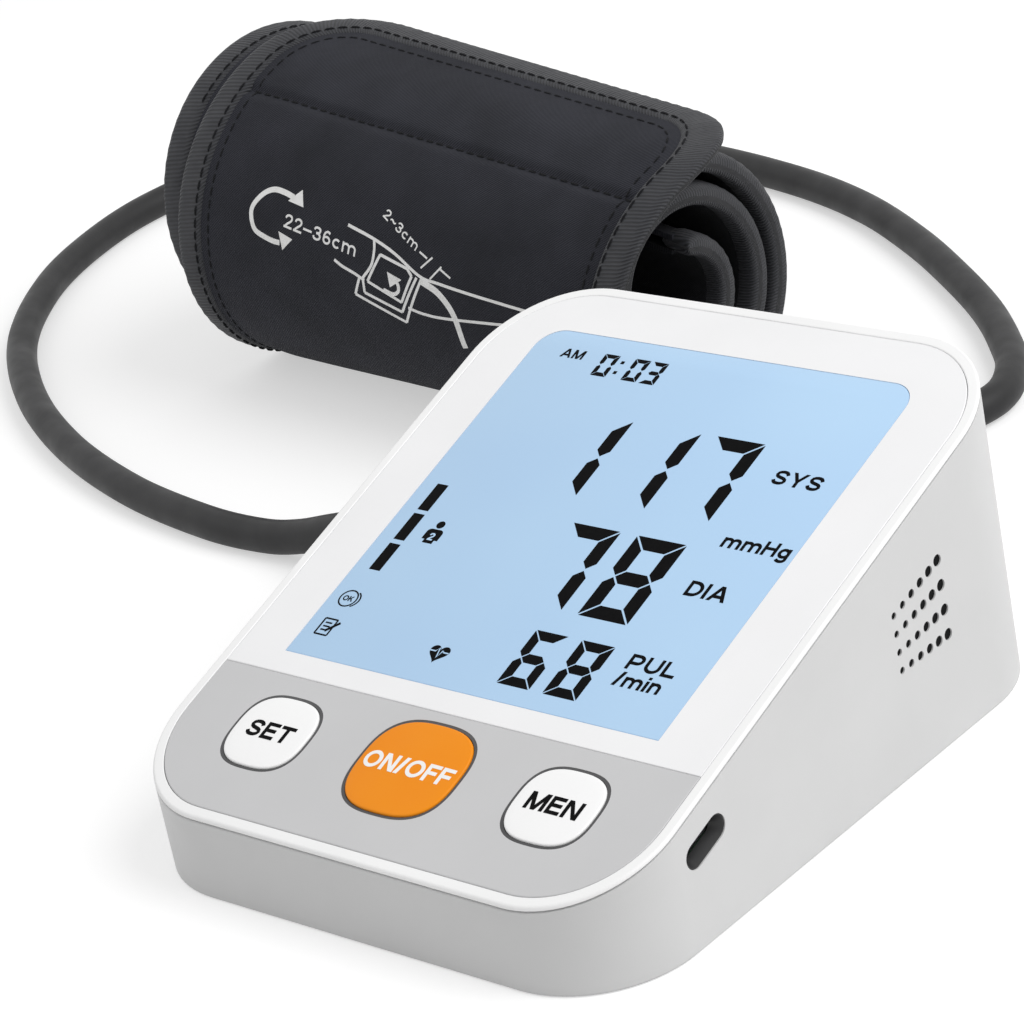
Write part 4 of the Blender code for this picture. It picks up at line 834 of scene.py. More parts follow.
def gap_shade_ring(name, x, width, height):
    """Painted shade in the gap round a button: a dark ring, clear of the button and just under the panel."""
    near, far = SHADE_RING_GROW
    rings = []
    for grow, depth in ((far, PANEL_THICK), (far, SHADE_RING_SUNK), (near, SHADE_RING_SUNK), (near, PANEL_THICK)):
        outline = superellipse(width + 2 * grow, height + 2 * grow) + [x, BUTTON_V]
        rings.append(on_face(*outline.T, -depth))
    place_piece(hoop(name, rings), GAP_SHADE)


def keypad():
    """Silicone mat under the buttons, with a hollow dome under each."""
    outline = box_outline(*KEYPAD_SPAN)
    mat = loft("keypad_mat", [on_face(*outline.T, -depth) for depth in MAT_DEPTHS])
    holes = [disc(POST_HOLE) + [x, BUTTON_V] for x in POST_PLACES]
    holes += [disc(DOME_FOOT + MESH_CLEAR, 48) + [size[0], BUTTON_V] for size in BUTTON_SIZES.values()]
    reach = (MAT_DEPTHS[0] - MAT_CLEAR, MAT_DEPTHS[1] + MAT_CLEAR)
    cut(mat, [loft("cut_keypad", [on_face(*hole.T, -depth) for depth in reach]) for hole in holes])
    place_piece(mat, SILICONE, ["keypad"])
    square_out = on_face(0, 0, 1) - on_face(0, 0, 0)
    for name, (x, *_) in BUTTON_SIZES.items():
        dome = turned(f"{name}_dome", DOME_PROFILE, on_face(x, BUTTON_V), square_out, 48)
        place_piece(dome, SILICONE, body=None)
        start, end = (on_face(x, BUTTON_V, place) for place in (-MAT_DEPTHS[0], DOME_PROFILE[-1][1]))
        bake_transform(dome)


def speaker_mesh():
    """Dark mesh pressed into the speaker holes, just under the wall's face."""
    shapes = []
    for hole, spot in speaker_holes(MESH_CLEAR):
        ends = [wall_points(hole, CASE_HIGH[0] - depth, spot) for depth in MESH_DEPTHS]
        shapes.append((np.concatenate(ends), stack_faces(2, HOLE_SIDES)))
    place_piece(marks("speaker_mesh", shapes), MESH)


def slot_bezel():
    """Dark funnel in the charging slot, from just under the wall's face to the socket's mouth."""
    wall = CASE_HIGH[0] - WALL
    length, height = SLOT_SIZE
    levels = []
    for grow, depth in FUNNEL:
        levels.append(((length + grow * MM, height + grow * MM), depth))
    levels.append((SOCKET_SIZE, FUNNEL[0][1]))
    rings = [wall_points(pill(*size), wall - depth * MM, SLOT_PLACE, FACE_ANGLE) for size, depth in levels]
    place_piece(hoop("charging_slot_bezel", rings), BLACK_ABS)


# Flat marks: filled outlines and drawn lines, laid on the display or on the cuff


def filled(outline, lay, thick):
    """A thin closed body over a filled outline; lay puts (first, second, out) on a surface."""
    outline = np.asarray(outline, float)
    points = np.concatenate([lay(outline[:, 0], outline[:, 1], out) for out in (-thick, thick)])
    return points, stack_faces(2, len(outline))


def drawn(path, width, lay, thick, style="open"):
    """A thin closed band along a path: open, closed into a loop, or level, with its ends cut level."""
    path = np.asarray(path, float)
    if style == "closed":
        step = np.roll(path, -1, axis=0) - np.roll(path, 1, axis=0)
    else:
        step = np.gradient(path, axis=0)
    side = np.stack([-step[:, 1], step[:, 0]], axis=-1)
    side *= width / 2 / np.linalg.norm(side, axis=1, keepdims=True)
    if style == "level":
        side = np.array([width * LEVEL_WIDTH / 2, 0])
    left = path + side
    right = path - side
    corners = ((left, -thick), (left, thick), (right, thick), (right, -thick))
    points = np.stack([lay(edge[:, 0], edge[:, 1], out) for edge, out in corners], axis=1)
    count = len(path)
    faces = grid_faces(count, 4, wrap=True)
    last = 4 * (count - 1)
    if style == "closed":
        faces += [[last + k, last + (k + 1) % 4, (k + 1) % 4, k] for k in range(4)]
    else:
        faces += [[0, 1, 2, 3], [last, last + 1, last + 2, last + 3]]
    return points.reshape(-1, 3), faces


def marks(name, shapes):
    """One object from several thin bodies."""
    points = []
    faces = []
    for shape_points, shape_faces in shapes:
        shift = sum(len(p) for p in points)
        points.append(shape_points)
        faces += [[i + shift for i in face] for face in shape_faces]
    return make_object(name, np.concatenate(points), faces)


def arc(centre, radius, start, end, count=24):
    """Points of an arc between two angles in degrees; radius may differ along the two axes."""
    angle = np.radians(np.linspace(start, end, count))
    return compass(angle) * radius + centre


def lengths(points):
    """Length of a line of points up to each of them."""
    return np.concatenate([[0], np.cumsum(np.linalg.norm(np.diff(points, axis=0), axis=1))])


def points_at(points, at):
    """Points at given lengths along a line of points."""
    run = lengths(points)
    return np.stack([np.interp(at, run, axis) for axis in points.T], axis=-1)


def unit(rows):
    """Rows of numbers scaled to a length of 1."""
    return rows / np.linalg.norm(rows, axis=1, keepdims=True)


def smooth_curve(points, count):
    """Catmull-Rom curve through a list of points, at even steps of its length."""
    route = np.array(points, float)
    padded = np.vstack([2 * route[0] - route[1], route, 2 * route[-1] - route[-2]])
    share = np.linspace(0, 1, 24, endpoint=False)[:, None]
    a, b, c, d = (padded[i : i + len(route) - 1, None] for i in range(4))
    square = 2 * a - 5 * b + 4 * c - d
    cube = -a + 3 * b - 3 * c + d
    curve = 0.5 * (2 * b + (c - a) * share + square * share**2 + cube * share**3)
    fine = np.vstack([curve.reshape(-1, route.shape[1]), route[-1:]])
    return points_at(fine, np.linspace(0, lengths(fine)[-1], count))


def along_sides(corners, step=1.0):
    """Points along straight sides, close enough to bend with the cloth."""
    corners = np.array(corners, float)
    pieces = []
    for a, b in zip(corners, corners[1:]):
        count = max(int(np.linalg.norm(b - a) / step), 2)
        pieces.append(a + (b - a) * np.linspace(0, 1, count, endpoint=False)[:, None])
    return np.vstack([*pieces, corners[-1:]])


# Bold sans-serif letters on a capital height of 1: each has its ink's width and its strokes
STROKE = 0.2
LEVEL_WIDTH = 1.12
LETTER_SPACE = 0.1
LETTER_STEP = 0.12


def line(*corners):
    return along_sides(corners, LETTER_STEP), "open"


def slant(low, high):
    return along_sides([low, high], LETTER_STEP), "level"


def bend(*points):
    return smooth_curve(points, 22), "open"


def bow(start, centre, radii, turn_from, turn_to, end):
    """An arc with a straight run before and after it."""
    return np.vstack([[start], arc(centre, radii, turn_from, turn_to, 18), [end]]), "open"


def ring(centre, radii):
    return arc(centre, radii, 0, 345, 24), "closed"


S_CURVE = [(0.72, 0.69), (0.62, 0.85), (0.41, 0.9), (0.19, 0.84), (0.12, 0.7), (0.2, 0.57), (0.41, 0.5)]
S_CURVE += [(0.63, 0.43), (0.71, 0.29), (0.62, 0.15), (0.41, 0.1), (0.18, 0.15), (0.09, 0.31)]
TWO_CURVE = [(0.1, 0.67), (0.15, 0.82), (0.33, 0.9), (0.51, 0.84), (0.56, 0.68), (0.48, 0.52)]
TWO_CURVE += [(0.29, 0.34), (0.12, 0.12)]
G_TAIL = [(0.6, 0.72), (0.36, -0.06), (0.24, 0.15), 0, -150, (0.1, -0.1)]
THREE_TOP = [(0.09, 0.72), (0.16, 0.85), (0.33, 0.9), (0.5, 0.84), (0.54, 0.71), (0.46, 0.57), (0.26, 0.53)]
THREE_LOW = [(0.26, 0.53), (0.49, 0.48), (0.57, 0.32), (0.5, 0.16), (0.32, 0.1), (0.14, 0.15), (0.07, 0.3)]
SIX_CURVE = [(0.1, 0.32), (0.11, 0.58), (0.19, 0.8), (0.36, 0.9), (0.53, 0.82)]
STEM = line((0.1, 0), (0.1, 1))
LOW_STEM = line((0.1, 0), (0.1, 0.72))
TOP_BAR = line((0.1, 0.9), (0.72, 0.9))
GLYPHS = {
    "A": (1.0, [slant((0.11, 0), (0.5, 1)), slant((0.89, 0), (0.5, 1)), line((0.24, 0.3), (0.76, 0.3))]),
    "D": (0.86, [STEM, bow((0.1, 0.9), (0.36, 0.5), (0.4, 0.4), 90, -90, (0.1, 0.1))]),
    "E": (0.74, [STEM, TOP_BAR, line((0.1, 0.51), (0.68, 0.51)), line((0.1, 0.1), (0.74, 0.1))]),
    "F": (0.72, [STEM, TOP_BAR, line((0.1, 0.5), (0.64, 0.5))]),
    "H": (0.84, [STEM, line((0.74, 0), (0.74, 1)), line((0.1, 0.52), (0.74, 0.52))]),
    "I": (0.2, [STEM]),
    "K": (0.86, [STEM, slant((0.16, 0.36), (0.7, 1)), slant((0.74, 0), (0.36, 0.6))]),
    "L": (0.7, [STEM, line((0.1, 0.1), (0.7, 0.1))]),
    "M": (1.04, [STEM, line((0.94, 0), (0.94, 1)), *(slant((0.52, 0), (top, 1)) for top in (0.13, 0.91))]),
    "N": (0.84, [STEM, line((0.74, 0), (0.74, 1)), slant((0.71, 0), (0.13, 1))]),
    "O": (1.0, [ring((0.5, 0.5), (0.4, 0.41))]),
    "P": (0.78, [STEM, bow((0.1, 0.9), (0.44, 0.66), (0.24, 0.24), 90, -90, (0.1, 0.42))]),
    "S": (0.82, [bend(*S_CURVE)]),
    "T": (0.8, [line((0.4, 0), (0.4, 1)), line((0, 0.9), (0.8, 0.9))]),
    "U": (0.84, [bow((0.1, 1), (0.42, 0.42), (0.32, 0.32), 180, 360, (0.74, 1))]),
    "Y": (0.92, [line((0.46, 0), (0.46, 0.46)), *(slant((0.46, 0.4), (top, 1)) for top in (0.11, 0.81))]),
    "c": (0.66, [(arc((0.35, 0.36), (0.25, 0.27), 46, 314, 20), "open")]),
    "g": (0.7, [ring((0.35, 0.37), (0.25, 0.26)), bow(*G_TAIL)]),
    "i": (0.2, [LOW_STEM, line((0.1, 0.82), (0.1, 1))]),
    "m": (1.12, [LOW_STEM, bow((0.1, 0.3), (0.33, 0.41), (0.23, 0.22), 180, 0, (0.56, 0)),
                 bow((0.56, 0.3), (0.79, 0.41), (0.23, 0.22), 180, 0, (1.02, 0))]),
    "n": (0.68, [LOW_STEM, bow((0.1, 0.3), (0.34, 0.4), (0.24, 0.23), 180, 0, (0.58, 0))]),
    "2": (0.66, [bend(*TWO_CURVE), line((0.03, 0.1), (0.66, 0.1))]),
    "3": (0.66, [bend(*THREE_TOP), bend(*THREE_LOW)]),
    "6": (0.66, [ring((0.33, 0.32), (0.23, 0.22)), bend(*SIX_CURVE)]),
    "–": (0.66, [line((0, 0.44), (0.66, 0.44))]),
    "~": (0.7, [bend((0.05, 0.4), (0.18, 0.52), (0.35, 0.46), (0.52, 0.4), (0.65, 0.52))]),
    "/": (0.42, [slant((0.09, 0), (0.33, 1))]),
}


def over_last(index):
    """How much thicker a stroke is, so that each lies a hair over the last."""
    return 1 + 0.06 * (index % 6)


def word(text, middle, height, width, lay, thick, tilt=0.0, stroke=STROKE):
    """Shapes of a word about its middle, tilted by an angle."""
    left = 0.0
    strokes = []
    for letter in text:
        ink_width, parts = GLYPHS[letter]
        strokes += [(path + [left, 0], style) for path, style in parts]
        left += ink_width + LETTER_SPACE
    full = left - LETTER_SPACE

    def lay_tilted(first, second, out):
        place = np.stack([first, second], axis=-1) @ tilting(tilt) + middle
        return lay(place[:, 0], place[:, 1], out)

    shapes = []
    for index, (path, style) in enumerate(strokes):
        spot = (path - [full / 2, 0.5]) * [width / full, height]
        shapes.append(drawn(spot, stroke * height, lay_tilted, thick * over_last(index), style))
    return shapes


def segments(width, height, stroke, gap):
    """The seven bars of a digit in a box from its lower left corner, each with mitred ends."""
    mid = height / 2
    half = stroke / 2
    upper = [
        (width, height - gap),
        (width, mid + half + gap),
        (width - half, mid + gap),
        (width - stroke, mid + half + gap),
        (width - stroke, height - stroke - gap),
    ]
    top = [
        (gap, height),
        (width - gap, height),
        (width - stroke - gap, height - stroke),
        (stroke + gap, height - stroke),
    ]
    middle = [
        (half + gap, mid),
        (stroke + gap, mid + half),
        (width - stroke - gap, mid + half),
        (width - half - gap, mid),
        (width - stroke - gap, mid - half),
        (stroke + gap, mid - half),
    ]
    upper, top, middle = (np.array(bar) for bar in (upper, top, middle))
    flip_x = np.array([-1, 1])
    flip_y = np.array([1, -1])
    return {
        "a": top,
        "b": upper,
        "c": upper * flip_y + [0, height],
        "d": top * flip_y + [0, height],
        "e": upper * -1 + [width, height],
        "f": upper * flip_x + [width, 0],
        "g": middle,
    }


LIT = {"0": "abcdef", "1": "bc", "3": "abcdg", "6": "acdefg", "7": "abc", "8": "abcdefg"}

# Digits on the display: figure, left edge, width, height and stroke, on a common middle
CLOCK = [("0", -27.6), ("0", -20.0), ("3", -15.6)]
CLOCK_SIZE = (3.7, 6.0, 1.0)
SYSTOLIC = [("1", -21.4), ("1", -5.0), ("7", 10.1)]
DIASTOLIC = [("7", -5.9), ("8", 9.6)]
LARGE_SIZE = (11.6, 20.6, 3.1)
MITRE_GAP = 0.09
PULSE = [("6", 3.9), ("8", 14.7)]
PULSE_SIZE = (7.7, 13.4, 2.15)
DIGIT_ROWS = [(CLOCK, CLOCK_SIZE, 123.0), (SYSTOLIC, LARGE_SIZE, 100.0), (DIASTOLIC, LARGE_SIZE, 73.2)]
DIGIT_ROWS.append((PULSE, PULSE_SIZE, 50.9))
COLON = np.array([(-22.4, 121.6), (-22.4, 124.4)])
COLON_DOT = 0.4
BAR_LOWS = (79.2, 71.1, 62.9)
BAR_SIDES = (-41.7, -39.0)
BAR_HEIGHT = 7.1

# Signs: their middles, and corners and lines from there
USER = np.array([-33.7, 74.4])
USER_HEAD = 2.2
USER_ROUND = 0.95
USER_CORNERS = [(-1.95, -1.8), (-1.2, -1.8), (-1.2, -2.7), (1.2, -2.7), (1.2, -1.8), (1.95, -1.8)]
USER_NUMBER = ("2", (-33.7, 73.4), 1.9, 1.3)
FIT = np.array([-40.9, 55.1])
FIT_RADIUS = 2.0
FIT_ECHO = 0.7
FIT_LINE = 0.32
PAGE = np.array([-40.6, 47.6])
PAGE_EDGE = [(-1.7, -2.0), (1.4, -2.0), (1.4, 2.0), (-1.7, 2.0), (-1.7, -2.0)]
PAGE_LINE = 0.38
PAGE_ROWS = (1.0, 0.1, -0.8)
ROW_ENDS = (-1.0, 0.6)
ROW_LINE = 0.36
PENCIL = [(0.2, -1.0), (2.4, 1.5)]
PENCIL_LINE = 0.62
HEART = np.array([-12.5, 47.6])
HEART_WIDTH = 4.6
BEAT_LINE = 0.3
HEART_BEAT = [(-2.2, 0.3), (-0.9, 0.3), (-0.4, 1.2), (0.2, -1.1), (0.7, 0.7), (1.0, 0.3), (2.2, 0.3)]

# Words: text, centre x and v, height of capitals and width
LABELS = [
    ("AM", -35.0, 124.6, 2.4, 5.6),
    ("SYS", 33.5, 103.2, 3.6, 11.0),
    ("mmHg", 35.2, 86.4, 3.4, 15.2),
    ("DIA", 32.2, 74.1, 3.7, 9.3),
    ("PUL", 32.4, 55.4, 3.6, 11.0),
    ("/min", 32.0, 51.2, 3.4, 10.4),
    ("OK", -40.9, 55.1, 1.3, 2.5),
]
FIGURE_THICK = 0.03 * MM


def lay_on_display(x, v, out):
    """Millimetres on the face, just on the window's front."""
    return on_face(x * MM, v * MM, out)


def display_shape(outline):
    return filled(outline, lay_on_display, FIGURE_THICK)


def display_line(path, width, style="open", over=1.0):
    return drawn(path, width, lay_on_display, over * FIGURE_THICK, style)


def display_digits():
    """Clock, systolic, diastolic and pulse figures, the colon and the three level bars."""
    shapes = []
    for digits, (width, height, stroke), middle in DIGIT_ROWS:
        bars = segments(width, height, stroke, MITRE_GAP * stroke)
        for figure, left in digits:
            for letter in LIT[figure]:
                shapes.append(display_shape(bars[letter] + [left, middle - height / 2]))
    for dot in COLON:
        shapes.append(display_shape(box_outline(dot - COLON_DOT, dot + COLON_DOT)))
    for low in BAR_LOWS:
        shapes.append(display_shape(box_outline((BAR_SIDES[0], low), (BAR_SIDES[1], low + BAR_HEIGHT))))
    place_piece(marks("display_figures", shapes), LCD_INK)


def heart_outline(centre, size, count=48):
    """The heart curve: x is sine cubed, y a sum of cosines, scaled to a width."""
    t = whole_turn(count)
    x = 16 * np.sin(t) ** 3
    y = 13 * np.cos(t) - 5 * np.cos(2 * t) - 2 * np.cos(3 * t) - np.cos(4 * t)
    return np.stack([x, y], axis=-1) * size / 32 + centre


def display_icons():
    """Small signs: user, cuff-fit ring, notepad with pencil, and heart with its pulse."""
    right_shoulder = arc(USER + [1, 0], USER_ROUND, 0, 90, 8)
    left_shoulder = arc(USER - [1, 0], USER_ROUND, 90, 180, 8)
    signs = [
        display_shape(arc(USER + [0, USER_HEAD], USER_ROUND, 0, 345)),
        display_shape(np.concatenate([right_shoulder, left_shoulder, USER + USER_CORNERS])),
        display_line(arc(FIT, FIT_RADIUS, 0, 352, 45), FIT_LINE, "closed"),
        display_line(arc(FIT + [FIT_ECHO, 0], FIT_RADIUS, -62, 62), FIT_LINE),
    ]
    signs += [display_line(PAGE + edge, PAGE_LINE) for edge in zip(PAGE_EDGE, PAGE_EDGE[1:])]
    signs += [display_line(PAGE + [(end, row) for end in ROW_ENDS], ROW_LINE) for row in PAGE_ROWS]
    signs.append(display_line(PAGE + PENCIL, PENCIL_LINE, over=1.4))
    signs.append(display_shape(heart_outline(HEART, HEART_WIDTH)))
    beat = display_line(HEART + HEART_BEAT, BEAT_LINE, over=2)
    place_piece(marks("display_signs", signs), LCD_INK)
    place_piece(marks("display_heartbeat", [beat]), LCD)


def display_words():
    """Labels beside the figures, the OK inside its ring and the user's number."""
    shapes = []
    for text, x, v, height, width in LABELS:
        shapes += word(text, (x, v), height, width, lay_on_display, FIGURE_THICK)
    place_piece(marks("display_words", shapes), LCD_INK)
    number = word(*USER_NUMBER, lay_on_display, 2 * FIGURE_THICK)
    place_piece(marks("display_user_number", number), LCD)


# Cuff: a sheet rolled up from its inner end, so that its flap lies on the outside

CUFF_CENTRE = (-135.98 * MM, 131.77 * MM)
CUFF_YAW = math.radians(-6)
CUFF_LENGTH = 134 * MM
ROLL_RADIUS = 38.6 * MM
ROLL_PITCH = 5.2 * MM
ROLL_LIFT = 0.35 * MM
REST_HEIGHT = 0.02 * MM
ROLL_CONE = 3.5 * MM
ROLL_TURNS = 3.0
INNER_DRAW = 8.0 * MM
FLAP_ANGLE = math.radians(76)
FLAP_CORNER = 22 * MM
FLAP_DROP = 1.2 * MM
FLAP_SHIFT = 24 * MM
FLAP_SKEWED = 3.1
SKEW_POWER = 1.15
FLAP_LIFT = (5.0 * MM, 1.0 * MM)
FLAP_FREE = 2.0
LINING_RAMP = (1.6, 3.25)
TAPE_WIDTH = 8.0 * MM
TAPE_PROUD = 0.7 * MM
TAPE_END = 4.5 * MM
TAPE_BLUNT = 0.98
TAPE_SIDES = 20
TAPE_SQUARE = (0.5, 0.65)
TAPE_GATHER = 0.1 * MM
CLOTH = 1.2 * MM
LAYER_GAP = 0.3 * MM
BLADDER = 1.5 * MM
BLADDER_TURNS = (3.4, 15.4)
BLADDER_WIDTH = 103 * MM
LINING_THICK = 1.0 * MM
HOOK_THICK = 1.1 * MM
HOOK_TURNS = (0.35, 1.35)
HOOK_WIDTH = 84 * MM
TUCK = 3.0 * MM
PUFF = 0.5 * MM
SWELL_EDGE = 12 * MM
SWELL_WAVES = (19 * MM, 27 * MM, 15 * MM, 43 * MM)
PUCKER_STEP = 2.6 * MM
PUCKER_REACH = 5 * MM
CALM_RUN = (200 * MM, 260 * MM)
SEAM_RUN = 29.5 * MM
SEAM_WIDTH = 1.2 * MM
STITCH_STEP = 3.1 * MM
STITCH_LENGTH = 2.6 * MM
STITCH_RADIUS = 0.24 * MM
STITCH_SINK = 0.22 * MM
STITCH_PROUD = 0.05 * MM
STITCH_RINGS = 7
STITCH_SIDES = 6
STITCHED_TURN = 7.2
STITCH_FLOOR = 0.8 * MM
ON_TAPE = 1.5 * MM
BESIDE_TAPE = 2.2 * MM
SEAM_CLEAR = 1.0 * MM

ALONG = np.array([math.cos(CUFF_YAW), math.sin(CUFF_YAW), 0])
BACK = np.array([-math.sin(CUFF_YAW), math.cos(CUFF_YAW), 0])
UP = np.array([0.0, 0.0, 1.0])
WHOLE = 2 * math.pi
BOTTOM_TURN = 0.75 * WHOLE - FLAP_ANGLE


def ease(value, low, high):
    """From 0 at low to 1 at high, level at both ends."""
    share = np.clip((value - low) / (high - low), 0, 1)
    return share * share * (3 - 2 * share)


def spiral_radius(turn):
    """Outside of the cloth: a spiral that closes in a pitch a turn, faster inside, with a thin flap."""
    inner = np.maximum(turn / WHOLE - 1, 0) / (ROLL_TURNS - 1)
    closing = ROLL_PITCH * turn / WHOLE + INNER_DRAW * inner**2
    return ROLL_RADIUS - closing - FLAP_DROP * (1 - ease(turn, *LINING_RAMP))


ROLL_CENTRE = np.array([*CUFF_CENTRE, ROLL_LIFT + spiral_radius(BOTTOM_TURN)])


def flap_shift(turn):
    """How far the flap has slid along the roll: nothing where the roll rests, most at the flap's end."""
    return FLAP_SHIFT * np.maximum(1 - turn / FLAP_SKEWED, 0) ** SKEW_POWER


def flap_lift(turn, side):
    """How far the free flap springs off the roll, for a side from -1 at the left to 1 at the right."""
    middle, lean = FLAP_LIFT
    return (middle + lean * side) * (1 - ease(turn, 0, FLAP_FREE))


def off_axis(turn):
    """Direction away from the roll's axis at a turn."""
    angle = FLAP_ANGLE + np.asarray(turn)[..., None]
    return BACK * np.cos(angle) + UP * np.sin(angle)


def roll(turn, across, depth):
    """Points of the sheet: turn in from the flap's end, place across it, depth to the axis; flat at rest.

    The roll is a slight cone that lies along its lowest line, so its axis dips to the right.
    """
    turn, across, depth = np.broadcast_arrays(turn, across, depth)
    along = across + flap_shift(turn)
    side = 2 * along / CUFF_LENGTH
    narrowing = ROLL_CONE * side
    radius = spiral_radius(turn) + flap_lift(turn, side) - narrowing - depth
    axis = ROLL_CENTRE + ALONG * along[..., None] - UP * narrowing[..., None]
    points = axis + off_axis(turn) * radius[..., None]
    points[..., 2] = np.maximum(points[..., 2], REST_HEIGHT)
    return points


TURN_TABLE = np.linspace(0, ROLL_TURNS * WHOLE, 2000)
RUN_TABLE = np.concatenate([[0], np.cumsum(np.diff(TURN_TABLE) * spiral_radius(TURN_TABLE[1:]))])


def turn_at(run):
    """The turn at a length of sheet from the flap's end."""
    return np.interp(run, RUN_TABLE, TURN_TABLE)


def lining_top(turn):
    return CLOTH + LAYER_GAP + (BLADDER + LAYER_GAP) * ease(turn, *LINING_RAMP)


def half_width(run, inset):
    """Half the sheet's width, inset from its edge, at a run from the flap's end with its round corners."""
    radius = FLAP_CORNER - inset
    back = np.maximum(FLAP_CORNER - run, 0)
    return CUFF_LENGTH / 2 - FLAP_CORNER + np.sqrt(np.maximum(radius**2 - back**2, 0))


def sheet_grid(inset, rows, columns):
    """Run and place across of a grid that fills the sheet, inset from its edge, finer at the seam."""
    corner = inset + (FLAP_CORNER - inset) * (1 - np.cos(np.linspace(0, math.pi / 2, 24)))
    seam = SEAM_RUN + np.linspace(-4, 4, 41) * SEAM_WIDTH
    run = np.concatenate([corner, seam, np.linspace(FLAP_CORNER, RUN_TABLE[-1], rows)[1:]])
    run = np.unique(run.round(7))
    side = np.linspace(-1, 1, columns)
    return run[:, None], side[None, :] * half_width(run, inset)[:, None]


def swell(run, across):
    """How far the padded cloth stands out: drawn in at the seams, softly waved between them."""
    edge = np.minimum(half_width(run, 0) - np.abs(across), run) - TAPE_WIDTH
    full = ease(edge, 0, SWELL_EDGE)
    seam = np.exp(-(((run - SEAM_RUN) / SEAM_WIDTH) ** 2))
    a, b, c, d = SWELL_WAVES
    wave = np.sin(across / a + run / b) * np.sin(run / c - across / d)
    pucker = np.sin(across / PUCKER_STEP) * np.exp(-(((run - SEAM_RUN) / PUCKER_REACH) ** 2))
    outer = 1 - 0.7 * ease(run, *CALM_RUN)
    return PUFF * outer * (full * (0.75 + 0.35 * wave) - 1.7 * seam + 0.1 * pucker)


def cloth_surface(across, run, out):
    """A point on the outer cloth's face, a little proud of it."""
    return roll(turn_at(run), across, -swell(run, across) - out)


def cuff_layers():
    """Outer cloth, bladder, lining and hook patch, each a slab bent onto the spiral."""
    inset = TAPE_WIDTH - TUCK
    run, across = sheet_grid(inset, 420, 72)
    turn = turn_at(run)
    flat = np.stack(np.broadcast_arrays(across, run), axis=-1)
    cloth = slab("cuff_cloth", roll(turn, across, -swell(run, across)), roll(turn, across, CLOTH), flat)
    lining_low = lining_top(turn) + LINING_THICK
    lining = slab("cuff_lining", roll(turn, across, lining_top(turn)), roll(turn, across, lining_low), flat)
    bladder = strip("cuff_air_bladder", BLADDER_TURNS, BLADDER_WIDTH, CLOTH + LAYER_GAP, BLADDER)
    hook = strip("cuff_hook_patch", HOOK_TURNS, HOOK_WIDTH, CLOTH + 2 * LAYER_GAP + LINING_THICK, HOOK_THICK)
    place_piece(cloth, NYLON, ["cuff_outer_cloth"])
    place_piece(lining, LINING, ["cuff_inner_cloth"])
    place_piece(bladder, FILM, ["cuff_bladder"])
    place_piece(hook, PILE, ["hook_patch"])
    return cloth, lining, bladder, hook


def strip(name, turns, width, top, thick):
    """A straight-sided layer between two turns, its edges thinned."""
    turn = np.linspace(*turns, 160)[:, None]
    side = np.linspace(-1, 1, 40)[None, :]
    thin = 0.35 * thick * np.abs(side) ** 8
    upper = roll(turn, side * width / 2, top + thin)
    lower = roll(turn, side * width / 2, top + thick - thin)
    run = np.interp(turn, TURN_TABLE, RUN_TABLE)
    return slab(name, upper, lower, np.stack(np.broadcast_arrays(side * width / 2, run), axis=-1))


def edge_path(inset):
    """Run and place across along the sheet's edge, inset: in one side, round the flap, out the other."""
    angle = np.linspace(0, math.pi / 2, 26)
    end = RUN_TABLE[-1] - TAPE_END * (1 - np.cos(angle))
    side = np.concatenate([end, np.linspace(end[-1], FLAP_CORNER, 330)[1:-1]])
    radius = FLAP_CORNER - inset
    run = np.concatenate([side, FLAP_CORNER - radius * np.sin(angle)])
    level = CUFF_LENGTH / 2 - FLAP_CORNER
    across = np.concatenate([np.full(len(side), level + radius), level + radius * np.cos(angle)])
    flap = np.linspace(1, -1, 60)[1:-1] * level
    run = np.concatenate([run, np.full(len(flap), inset), run[::-1]])
    return run, np.concatenate([across, flap, -across[::-1]])


def binding():
    """Tape folded over the edge: a soft flat section carried round the sheet, gathered by its stitches.

    Its two ends, at the inner end of the sheet, are rounded off.
    """
    outer_run, outer_across = edge_path(0)
    inner_run, inner_across = edge_path(TAPE_WIDTH)
    around = whole_turn(TAPE_SIDES)
    way = compass(around)
    reach, rise = (np.sign(way) * np.abs(way) ** TAPE_SQUARE).T
    share = 0.5 + 0.5 * reach
    run = inner_run[:, None] + share * (outer_run - inner_run)[:, None]
    across = inner_across[:, None] + share * (outer_across - inner_across)[:, None]
    step = np.hypot(np.gradient(outer_run), np.gradient(outer_across))
    along = np.cumsum(step)[:, None]
    gather = TAPE_GATHER * np.sin(2 * math.pi * along / STITCH_STEP) * np.cos(around / 2) ** 2
    turn = turn_at(run)
    top = -TAPE_PROUD - gather
    bottom = lining_top(turn) + LINING_THICK
    blunt = np.sqrt(1 - TAPE_BLUNT * np.maximum(1 - (RUN_TABLE[-1] - run) / TAPE_END, 0) ** 2)
    depth = (top + bottom) / 2 - blunt * rise * (bottom - top) / 2
    tape = loft("cuff_binding_tape", roll(turn, across, depth), ROUNDED)
    flat = np.stack(np.broadcast_arrays(along, around * TAPE_WIDTH / math.pi), axis=-1)
    set_flat_map(tape.data, flat.reshape(-1, 2))
    return place_piece(tape, TAPE, ["cuff_binding"])


def evenly(points, step):
    """Places at even steps along a line of points, and the line's direction there."""
    at = np.arange(step / 2, lengths(points)[-1], step)
    way = points_at(points, at + step / 10) - points_at(points, at - step / 10)
    return points_at(points, at), unit(way)


